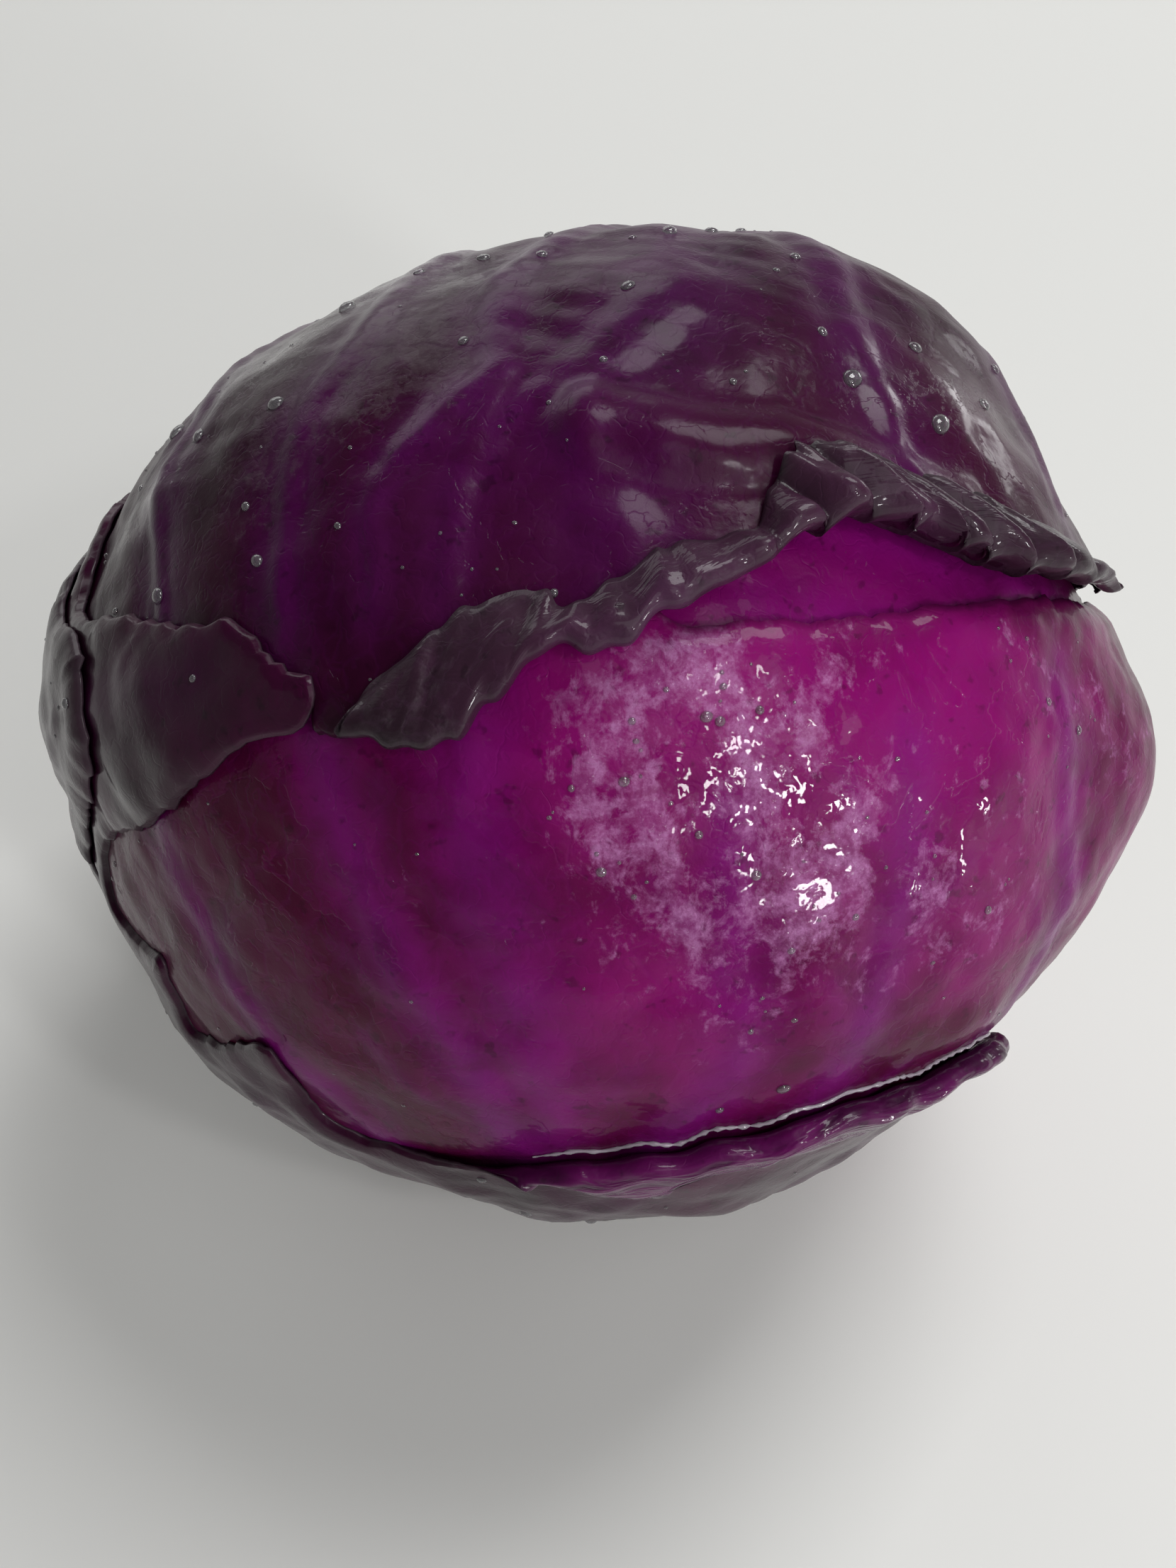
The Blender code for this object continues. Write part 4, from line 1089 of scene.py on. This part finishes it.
def leaf_skin(name, deep, vivid, rib, wax, rim, wax_share=0.45, wax_lift=0.0, dull=0.36, water=0.45,
              freckles=0.4, ragged=2.2, lumps=1.0, coat_rough=0.04, gloss=0.06, wax_grains_and_glints=None,
              creases=0.0, grainy=0.65, sheets=0.0):
    material, tree, shader = new_material(name)
    place = on_object(tree)
    mottle = noise(tree, place, 170, 4, 0.6, 0.4)
    fine = noise(tree, place, 900, 3)
    grain = noise(tree, place, 3600, 2)

    colour, veins = pigment(tree, place, mottle, deep, vivid, rib, freckles)
    film = wax_film(tree, fine, ragged, wax_lift)
    mask = soft_step(tree, film, 0.38, 0.84)
    colour = bloomed(tree, place, colour, film, mask, wax, wax_share, grainy, wax_grains_and_glints)
    # The rim colour is partly the thin edge's own paler colour and partly a painted highlight where light
    # catches the edge.
    colour = blend(tree, times(tree, attribute(tree, "rim"), 0.6), colour, rim)
    if sheets > 0:
        sheet = soft_step(tree, noise(tree, place, 85, 4, 0.6, 0.5), 0.505, 0.520)
        # Painted sheen: inside the sheets of water the colour is a little lighter and more vivid.
        sheet_sheen = tuple(1.25 * c + 0.02 for c in vivid)
        colour = blend(tree, times(tree, sheet, 0.07 * sheets), colour, sheet_sheen)
    folded = None
    if creases > 0:
        colour, folded = creased(tree, colour, tinted(deep, 0.4), creases)
    join(tree, colour, shader, "Base Color")

    rough = plus(tree, soft_step(tree, mask, 0.0, 1.0, dull, 0.44), swing(tree, grain, 0.12))
    join(tree, rough, shader, "Roughness")
    clear = soft_step(tree, mask, 0.0, 1.0, water, 0.30 * water)
    join(tree, calc(tree, "MAXIMUM", clear, attribute(tree, "wet")), shader, "Coat Weight")

    skin = bump(tree, times(tree, veins, -1.0), 0.000025, folded)
    skin = bump(tree, fine, 0.00004, skin)
    join(tree, bump(tree, grain, 0.000012, skin), shader, "Normal")
    swell = bump(tree, noise(tree, place, 95, 2), 0.00055 * lumps, folded)
    swell = bump(tree, noise(tree, place, 330, 2, 0.4), 0.00017 * lumps, swell)
    if sheets > 0:
        swell = bump(tree, sheet, 0.00009 * sheets, swell)
        swell = bump(tree, soft_step(tree, film, 0.50, 0.60), 0.00007 * lumps, swell)
    join(tree, swell, shader, "Coat Normal")
    shader.inputs["Coat Roughness"].default_value = coat_rough
    shader.inputs["Coat IOR"].default_value = WATER_IOR
    shader.inputs["Specular IOR Level"].default_value = gloss
    return material


print("Water bends light by", WATER_IOR)

# %% [markdown]
# The outer skins differ in pigment, wax and wetness. The inner skins show where a rim is rolled back:
# they are dull and greyish on the crown leaf, and violet and wet on the collar leaf.

# %% Ten skins for five leaves
SKINS = {
    "bright_leaf": dict(deep=(0.060, 0.001, 0.022), vivid=(0.205, 0.002, 0.114), rib=(0.17, 0.004, 0.155),
                        wax=(0.42, 0.17, 0.38), rim=(0.16, 0.010, 0.09), wax_share=0.85, water=0.30,
                        wax_grains_and_glints=(0.72, 0.55, 0.72), wax_lift=-0.05, lumps=1.25, sheets=1.0),
    "under_leaf": dict(deep=(0.070, 0.001, 0.032), vivid=(0.175, 0.001, 0.105), rib=(0.190, 0.004, 0.150),
                       wax=(0.26, 0.06, 0.19), rim=(0.16, 0.010, 0.09), wax_share=0.4, ragged=1.2,
                       wax_lift=-0.15, water=0.35),
    "crown_leaf": dict(deep=(0.016, 0.001, 0.008), vivid=(0.038, 0.002, 0.020), rib=(0.080, 0.003, 0.080),
                       wax=(0.080, 0.056, 0.068), rim=(0.045, 0.030, 0.040), ragged=1.0, water=0.23,
                       lumps=0.7, coat_rough=0.16, wax_share=0.7, grainy=0.85, wax_lift=-0.05, sheets=0.6),
    "collar_leaf": dict(deep=(0.013, 0.003, 0.008), vivid=(0.050, 0.002, 0.028), rib=(0.040, 0.003, 0.032),
                        wax=(0.040, 0.030, 0.035), rim=(0.050, 0.035, 0.045), ragged=1.2, lumps=0.7,
                        coat_rough=0.12, grainy=0.85),
    "side_leaf": dict(deep=(0.012, 0.003, 0.008), vivid=(0.030, 0.003, 0.018), rib=(0.035, 0.006, 0.030),
                      wax=(0.060, 0.048, 0.053), rim=(0.060, 0.045, 0.055), ragged=1.2, lumps=0.7,
                      coat_rough=0.12, grainy=0.85),
}
INSIDES = {
    "bright_leaf": dict(deep=(0.09, 0.010, 0.06), vivid=(0.22, 0.03, 0.17), rib=(0.30, 0.12, 0.28)),
    "under_leaf": dict(deep=(0.09, 0.010, 0.06), vivid=(0.22, 0.03, 0.17), rib=(0.30, 0.12, 0.28)),
    "crown_leaf": dict(deep=(0.013, 0.007, 0.010), vivid=(0.048, 0.015, 0.036), rib=(0.09, 0.03, 0.085),
                       creases=0.12, wax=(0.13, 0.10, 0.12), water=0.50, coat_rough=0.06),
    "collar_leaf": dict(deep=(0.022, 0.002, 0.016), vivid=(0.105, 0.004, 0.078), rib=(0.13, 0.02, 0.11),
                        water=0.65, coat_rough=0.05, creases=1.0),
    "side_leaf": dict(deep=(0.018, 0.007, 0.013), vivid=(0.050, 0.008, 0.036), rib=(0.07, 0.03, 0.06)),
}
for name, piece in pieces.items():
    piece.data.materials.append(leaf_skin(name + "_outside", **SKINS[name]))
    settings = dict(wax=(0.075, 0.060, 0.070), rim=SKINS[name]["rim"], wax_lift=0.10, wax_share=0.4,
                    dull=0.42, water=0.22, ragged=1.4, coat_rough=0.10, gloss=0.12)
    settings.update(INSIDES[name])
    piece.data.materials.append(leaf_skin(name + "_inside", **settings))
print("Skins:", ", ".join(SKINS))

# %% [markdown]
# Water stands on the leaves as beads. They repeat by the hundred, so Geometry Nodes scatter them: a
# point is thrown on the skin, more often where the density attribute is high, and each point gets
# a flattened ball whose lower half is sunk in the leaf, so that a dome of water is left.

# %% A tree that scatters beads of water
def geometry_tree(name, inputs, made):
    """An empty Geometry Nodes tree with named inputs, and what comes in through them."""
    tree = bpy.data.node_groups.new(name, "GeometryNodeTree")
    for label, kind in inputs:
        tree.interface.new_socket(name=label, in_out="INPUT", socket_type="NodeSocket" + kind)
    tree.interface.new_socket(name=made, in_out="OUTPUT", socket_type="NodeSocketGeometry")
    return tree, tree.nodes.new("NodeGroupInput").outputs


def hand_out(tree, geometry, material):
    """End of a tree: real geometry, smooth, with its material."""
    real = add(tree, "GeometryNodeRealizeInstances", {"Geometry": geometry})
    smooth = add(tree, "GeometryNodeSetShadeSmooth", {"Geometry": real.outputs[0]})
    dressed = add(tree, "GeometryNodeSetMaterial", {"Geometry": smooth.outputs[0], "Material": material})
    tree.links.new(dressed.outputs[0], tree.nodes.new("NodeGroupOutput").inputs[0])


def bead_tree():
    tree, given = geometry_tree("beads_of_water", (
        ("Skin", "Geometry"), ("Beads per square metre", "Float"), ("Smallest radius", "Float"),
        ("Largest radius", "Float"), ("Flatness", "Float"), ("Seed", "Int"), ("Water", "Material")),
        "Beads")
    share = add(tree, "GeometryNodeInputNamedAttribute", {"Name": "bead_share"}, data_type="FLOAT")
    amount = times(tree, share.outputs["Attribute"], given["Beads per square metre"])
    thrown = add(tree, "GeometryNodeDistributePointsOnFaces",
                 {"Mesh": given["Skin"], "Density": amount, "Seed": given["Seed"]})
    chance = add(tree, "FunctionNodeRandomValue", {"Seed": given["Seed"]}, data_type="FLOAT").outputs[1]
    size = add(tree, "ShaderNodeMapRange", {"Value": calc(tree, "POWER", chance, 3.0),
                                            "To Min": given["Smallest radius"],
                                            "To Max": given["Largest radius"]}).outputs["Result"]
    longer = add(tree, "FunctionNodeRandomValue", {2: 0.85, 3: 1.35, "Seed": 7}, data_type="FLOAT")
    scale = add(tree, "ShaderNodeCombineXYZ", {"X": times(tree, size, longer.outputs[1]), "Y": size,
                                               "Z": times(tree, size, given["Flatness"])})
    ball = add(tree, "GeometryNodeMeshIcoSphere", {"Radius": 1.0, "Subdivisions": 2})
    placed = add(tree, "GeometryNodeInstanceOnPoints",
                 {"Points": thrown.outputs["Points"], "Instance": ball.outputs["Mesh"],
                  "Rotation": thrown.outputs["Rotation"], "Scale": scale.outputs[0]})
    hand_out(tree, placed.outputs[0], given["Water"])
    return tree


beads = bead_tree()
print("The bead tree has", len(beads.nodes), "nodes")

# %% [markdown]
# A tree works as a modifier. Its inputs are set by the identifiers of its sockets, the evaluated
# result becomes a plain mesh, and then the modifier goes. The water itself is nearly clear and bends
# light a little.

# %% From a tree to a plain mesh, and water
def grown(thing, tree, settings):
    """Plain mesh that a Geometry Nodes tree makes on a thing; the modifier is gone afterwards."""
    modifier = thing.modifiers.new("growth", "NODES")
    modifier.node_group = tree
    for socket in tree.interface.items_tree:
        if socket.name in settings:
            modifier[socket.identifier] = settings[socket.name]
    view = bpy.context.evaluated_depsgraph_get()
    mesh = bpy.data.meshes.new_from_object(thing.evaluated_get(view))
    thing.modifiers.clear()
    thing.data = mesh
    return thing


def water_material(name, colour, clear, rough):
    material, tree, shader = new_material(name)
    place = on_object(tree)
    join(tree, blend(tree, noise(tree, place, 320, 3), tinted(colour, 0.5), colour), shader, "Base Color")
    join(tree, bump(tree, noise(tree, place, 700, 2), 0.00005), shader, "Normal")
    for socket, value in (("Roughness", rough), ("IOR", 1.4), ("Transmission Weight", clear),
                          ("Coat Weight", 0.6)):
        shader.inputs[socket].default_value = value
    return material


clear_water = water_material("clear_water", (0.97, 0.98, 1.0), 0.92, 0.05)
print("Material:", clear_water.name)

# %% [markdown]
# Beads gather along the edges of the waxy patches, and on the flanks of the dark leaves. Their share
# is worked out from the same strokes and written on a copy of the leaf that only serves as ground.

# %% Beads on every leaf
BEAD_FACES = 80
BEAD_FLATNESS = 0.62


def on_wax(place, wax):
    return np.clip((wax - 0.3) * 2.2, 0, 1) * (waves(place, 0.012, 72) > 0.1) + 0.03


def on_flanks(place, wax):
    away = (place - CENTRE) / HALF
    flank = np.clip((np.abs(away[:, 0]) - 0.55) * 2.5, 0, 1)
    back = np.clip((away[:, 1] - 0.3) * 2, 0, 1)
    return 0.12 + 0.9 * np.maximum(flank, 0.3 * back) * (waves(place, 0.03, 71) > 0.2)


def bead_ground(leaf, name, share_of):
    mesh = pieces[leaf.name].data.copy()
    count = len(mesh.vertices)
    place, wax, open_skin = np.zeros(count * 3), np.zeros(count), np.zeros(count)
    mesh.vertices.foreach_get("co", place)
    mesh.attributes["wax"].data.foreach_get("value", wax)
    mesh.attributes["open_skin"].data.foreach_get("value", open_skin)
    write_values(mesh, "bead_share", share_of(place.reshape(-1, 3), wax) * open_skin)
    return linked(name, mesh)


BEADS = (
    (bright, on_wax, 90000.0, 0.00020, 0.00075, 81),
    (crown, on_flanks, 40000.0, 0.00018, 0.00130, 82),
    (collar, on_flanks, 16000.0, 0.00018, 0.00105, 83),
    (side, on_flanks, 16000.0, 0.00018, 0.00105, 84),
    (under, on_flanks, 9000.0, 0.00018, 0.00080, 85),
)
for leaf, share_of, density, smallest, largest, seed in BEADS:
    name = "beads_on_" + leaf.name
    pieces[name] = grown(bead_ground(leaf, name, share_of), beads, {
        "Beads per square metre": density, "Smallest radius": smallest, "Largest radius": largest,
        "Flatness": BEAD_FLATNESS, "Seed": seed, "Water": clear_water})
    print(name, "has", len(pieces[name].data.polygons) // BEAD_FACES, "beads")

# %% [markdown]
# Water is also held in the narrow gap where the collar's fold lies against the bright leaf, and there
# it draws a thin bright line. A tube that follows the fold, a little thicker and thinner along the
# way, does that: a row of points becomes a curve, and the curve carries a round section. The water in
# the gap is pale and only half clear: that colour is a painted highlight, the thin bright line of light
# along the bright leaf's lower edge.

# %% Line of water along the collar's fold
FOLDED_BACK = 100
GAP_AWAY = 0.3
WATER_ABOVE = 0.15 * MM
WATER_RADIUS = 0.28 * MM
TAPER = 6.0


def line_tree():
    tree, given = geometry_tree("line_of_water", (
        ("Path", "Geometry"), ("Radius", "Float"), ("Sides", "Int"), ("Water", "Material")), "Line")
    share = add(tree, "GeometryNodeInputNamedAttribute", {"Name": "thickness"}, data_type="FLOAT")
    radius = times(tree, share.outputs["Attribute"], given["Radius"])
    path = add(tree, "GeometryNodeMeshToCurve", {"Mesh": given["Path"]})
    section = add(tree, "GeometryNodeCurvePrimitiveCircle", {"Resolution": given["Sides"], "Radius": 1.0})
    tube = add(tree, "GeometryNodeCurveToMesh",
               {"Curve": path.outputs[0], "Profile Curve": section.outputs[0], "Scale": radius,
                "Fill Caps": True})
    hand_out(tree, tube.outputs[0], given["Water"])
    return tree


held = collar.curve[:, 2] > FOLDED_BACK
fold = collar.curve[held, :2] + collar.away[held] * GAP_AWAY
run = bright.chart.flat(collar.chart.sphere(fold))
travel = np.concatenate([[0], np.cumsum(np.linalg.norm(np.diff(run, axis=0), axis=1))])
near_end = np.minimum(travel, travel[-1] - travel)
taper = np.clip(0.25 + near_end / TAPER, 0, 1)
points = bright.outer_point(bright.chart.sphere(run), WATER_ABOVE).tolist()
mesh = bpy.data.meshes.new("water_line")
mesh.from_pydata(points, [(i, i + 1) for i in range(len(points) - 1)], [])
write_values(mesh, "thickness", taper * (1 + 0.35 * ripple(travel, 2.4, 91)))
# Pale, half-clear water: its colour is a painted highlight along the fold.
pale_highlight_water = water_material("pale_highlight_water", (0.88, 0.76, 0.88), 0.45, 0.12)
pieces["water_line"] = grown(linked("water_line", mesh), line_tree(), {
    "Radius": WATER_RADIUS, "Sides": 8, "Water": pale_highlight_water})
print("water_line has", len(pieces["water_line"].data.polygons), "faces over", round(travel[-1]), "mm")

# %% [markdown]
# The stem is a stub, cut with a knife. Its rind is pale green with fine lengthwise fibres, and the
# cut face shows a ring of bundles round a paler pith. It keeps its solid's form and gets a material
# of rings and fibres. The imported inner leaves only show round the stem, and get a pale violet skin.

# %% Stem and inner leaves
def stem_material():
    material, tree, shader = new_material("cut_stem_flesh")
    place = on_object(tree)
    fibres = add(tree, "ShaderNodeMapping", {"Vector": place, "Scale": (1.0, 1.0, 0.08)}).outputs["Vector"]
    split = add(tree, "ShaderNodeSeparateXYZ", {"Vector": place}).outputs
    radius = calc(tree, "SQRT", plus(tree, calc(tree, "POWER", split["X"], 2.0),
                                     calc(tree, "POWER", split["Y"], 2.0)))
    radius = plus(tree, radius, swing(tree, noise(tree, place, 150, 2), 0.003))
    ring = times(tree, soft_step(tree, radius, 0.0088, 0.0100),
                 soft_step(tree, radius, 0.0112, 0.0126, 1.0, 0.0))
    bark = soft_step(tree, radius, 0.0130, 0.0142)
    threads = noise(tree, fibres, 1500, 4)
    flesh = blend(tree, noise(tree, place, 260, 4), (0.60, 0.58, 0.40), (0.74, 0.72, 0.55))
    flesh = blend(tree, times(tree, ring, 0.6), flesh, (0.46, 0.50, 0.24))
    rind = blend(tree, threads, (0.40, 0.40, 0.22), (0.60, 0.52, 0.48))
    rind = blend(tree, soft_step(tree, noise(tree, place, 60, 3), 0.45, 0.7), rind, (0.40, 0.24, 0.36))
    join(tree, blend(tree, bark, flesh, rind), shader, "Base Color")
    join(tree, soft_step(tree, threads, 0.2, 0.8, 0.45, 0.72), shader, "Roughness")
    join(tree, bump(tree, threads, 0.0003, bump(tree, ring, 0.0002)), shader, "Normal")
    return material


def packed_material():
    material, tree, shader = new_material("packed_inner_leaves")
    folds = noise(tree, on_object(tree), 190, 4, 0.6, 0.8)
    colour = blend(tree, soft_step(tree, folds, 0.3, 0.7), (0.22, 0.05, 0.20), (0.55, 0.36, 0.50))
    join(tree, colour, shader, "Base Color")
    join(tree, soft_step(tree, folds, 0.2, 0.8, 0.35, 0.55), shader, "Roughness")
    join(tree, bump(tree, folds, 0.0005), shader, "Normal")
    return material


for node, material in (("cut_stem", stem_material()), ("inner_leaves", packed_material())):
    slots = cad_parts[node].material_slots
    for place in slots:
        place.material = material
    print(node, "has", len(slots), "material slot")

# %% [markdown]
# Every piece rides on the one body that there is, stands in for its solid, and takes its slot.

# %% Handing the pieces over
STANDS_FOR = {
    "side_leaf": "torn_side_leaf",
    "collar_leaf": "torn_collar_leaf",
    "crown_leaf": "dark_crown_leaf",
    "bright_leaf": "bright_front_leaf",
    "under_leaf": "violet_under_leaf",
}
for name, piece in pieces.items():
    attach(piece, "root")
    if name in STANDS_FOR:
        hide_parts(STANDS_FOR[name])
print(len(pieces), "pieces ride on the root")

# %% [markdown]
# The table is a pale dish that curves up at its rim, so that no edge shows behind the head. It is
# made as rings of points: flat out to a good distance, and then up along a quarter of a circle.

# %% Table
RINGS = 40
SIDES = 96
FLAT_TO = 0.9
RISE = 1.1


def ring_of_points(share):
    """One ring of the dish; share is how far out it lies, from 0 to 1."""
    turn = max(0.0, share - 0.5) * math.pi
    radius = FLAT_TO * min(1.0, 2 * share) + RISE * math.sin(turn)
    height = RISE * (1 - math.cos(turn))
    angles = [2 * math.pi * i / SIDES for i in range(SIDES)]
    return [(radius * math.cos(a), radius * math.sin(a), height) for a in angles]


def dish():
    vertices = [point for r in range(1, RINGS + 1) for point in ring_of_points(r / RINGS)]
    faces = [tuple(range(SIDES))]
    for r in range(RINGS - 1):
        for i in range(SIDES):
            j = (i + 1) % SIDES
            faces.append((r * SIDES + i, (r + 1) * SIDES + i, (r + 1) * SIDES + j, r * SIDES + j))
    mesh = bpy.data.meshes.new("table")
    mesh.from_pydata(vertices, [], faces)
    mesh.polygons.foreach_set("use_smooth", np.ones(len(faces), bool))
    material, _, shader = new_material("pale_table")
    shader.inputs["Base Color"].default_value = (0.78, 0.78, 0.76, 1.0)
    shader.inputs["Roughness"].default_value = 0.75
    shader.inputs["Specular IOR Level"].default_value = 0.0
    mesh.materials.append(material)
    return linked("table", mesh)


dish()
print("The table is set")

# %% [markdown]
# The light is a soft studio light: a wide panel overhead, one behind, a soft one in front, and a low
# one behind at the right that draws the wet rims. Four small bright panes in front stand for the
# parts of a window, because a wet leaf shows small hard glints and not the broad sheen of a panel.

# %% Light
AIM = Vector((-0.0015, -0.0095, CENTRE[2]))


def panel(name, azimuth, elevation, distance, wide, high, radiance):
    """A flat light that looks at the head. Azimuth 0 is the front, 90 the right."""
    a, e = math.radians(azimuth), math.radians(elevation)
    back = Vector((math.sin(a) * math.cos(e), -math.cos(a) * math.cos(e), math.sin(e)))
    lamp = bpy.data.lights.new(name, "AREA")
    lamp.shape = "RECTANGLE"
    lamp.size, lamp.size_y = wide, high
    lamp.energy = radiance * math.pi * wide * high
    thing = linked(name, lamp)
    thing.location = AIM + back * distance
    thing.rotation_euler = back.to_track_quat("Z", "Y").to_euler()
    print(name, "gives", round(lamp.energy, 2), "W")


panel("overhead_panel", 135, 62, 1.60, 0.72, 0.72, 9.0)
panel("back_panel", -160, 24, 1.20, 1.00, 0.55, 1.6)
panel("soft_front_panel", 30, 55, 0.80, 0.44, 0.44, 1.6)
panel("window_pane_low", 38, 17, 0.70, 0.065, 0.075, 66.0)
panel("window_pane_middle", 31, 33, 0.70, 0.035, 0.060, 66.0)
panel("window_pane_high", 42, 48, 0.70, 0.045, 0.050, 66.0)
panel("window_pane_side", 62, -2, 0.70, 0.035, 0.050, 66.0)
panel("right_window_panel", 133, 9, 1.00, 0.30, 0.14, 6.0)

world = bpy.data.worlds.new("studio")
world.use_nodes = True
background = world.node_tree.nodes["Background"].inputs
background["Color"].default_value = (1.0, 1.0, 1.0, 1.0)
background["Strength"].default_value = 0.06
bpy.context.scene.world = world
bpy.context.scene.view_settings.view_transform = "Standard"

# %% [markdown]
# The camera looks down on the front at 52 degrees from close by, as the photograph does. Seen from
# so near, the crown looks larger than the stem's side, which a view from afar would lose.

# %% Camera
VIEW_DOWN = math.radians(52)
VIEW_DISTANCE = 0.240
lens = bpy.data.cameras.new("eye")
lens.lens, lens.sensor_width = 36.0, 36.0
lens.clip_start = 0.01
eye = linked("eye", lens)
eye.location = AIM + VIEW_DISTANCE * Vector((0, -math.cos(VIEW_DOWN), math.sin(VIEW_DOWN)))
eye.rotation_euler = (math.pi / 2 - VIEW_DOWN, 0, 0)
bpy.context.scene.camera = eye
print("The eye is", round(1000 * eye.location.z), "mm above the table")
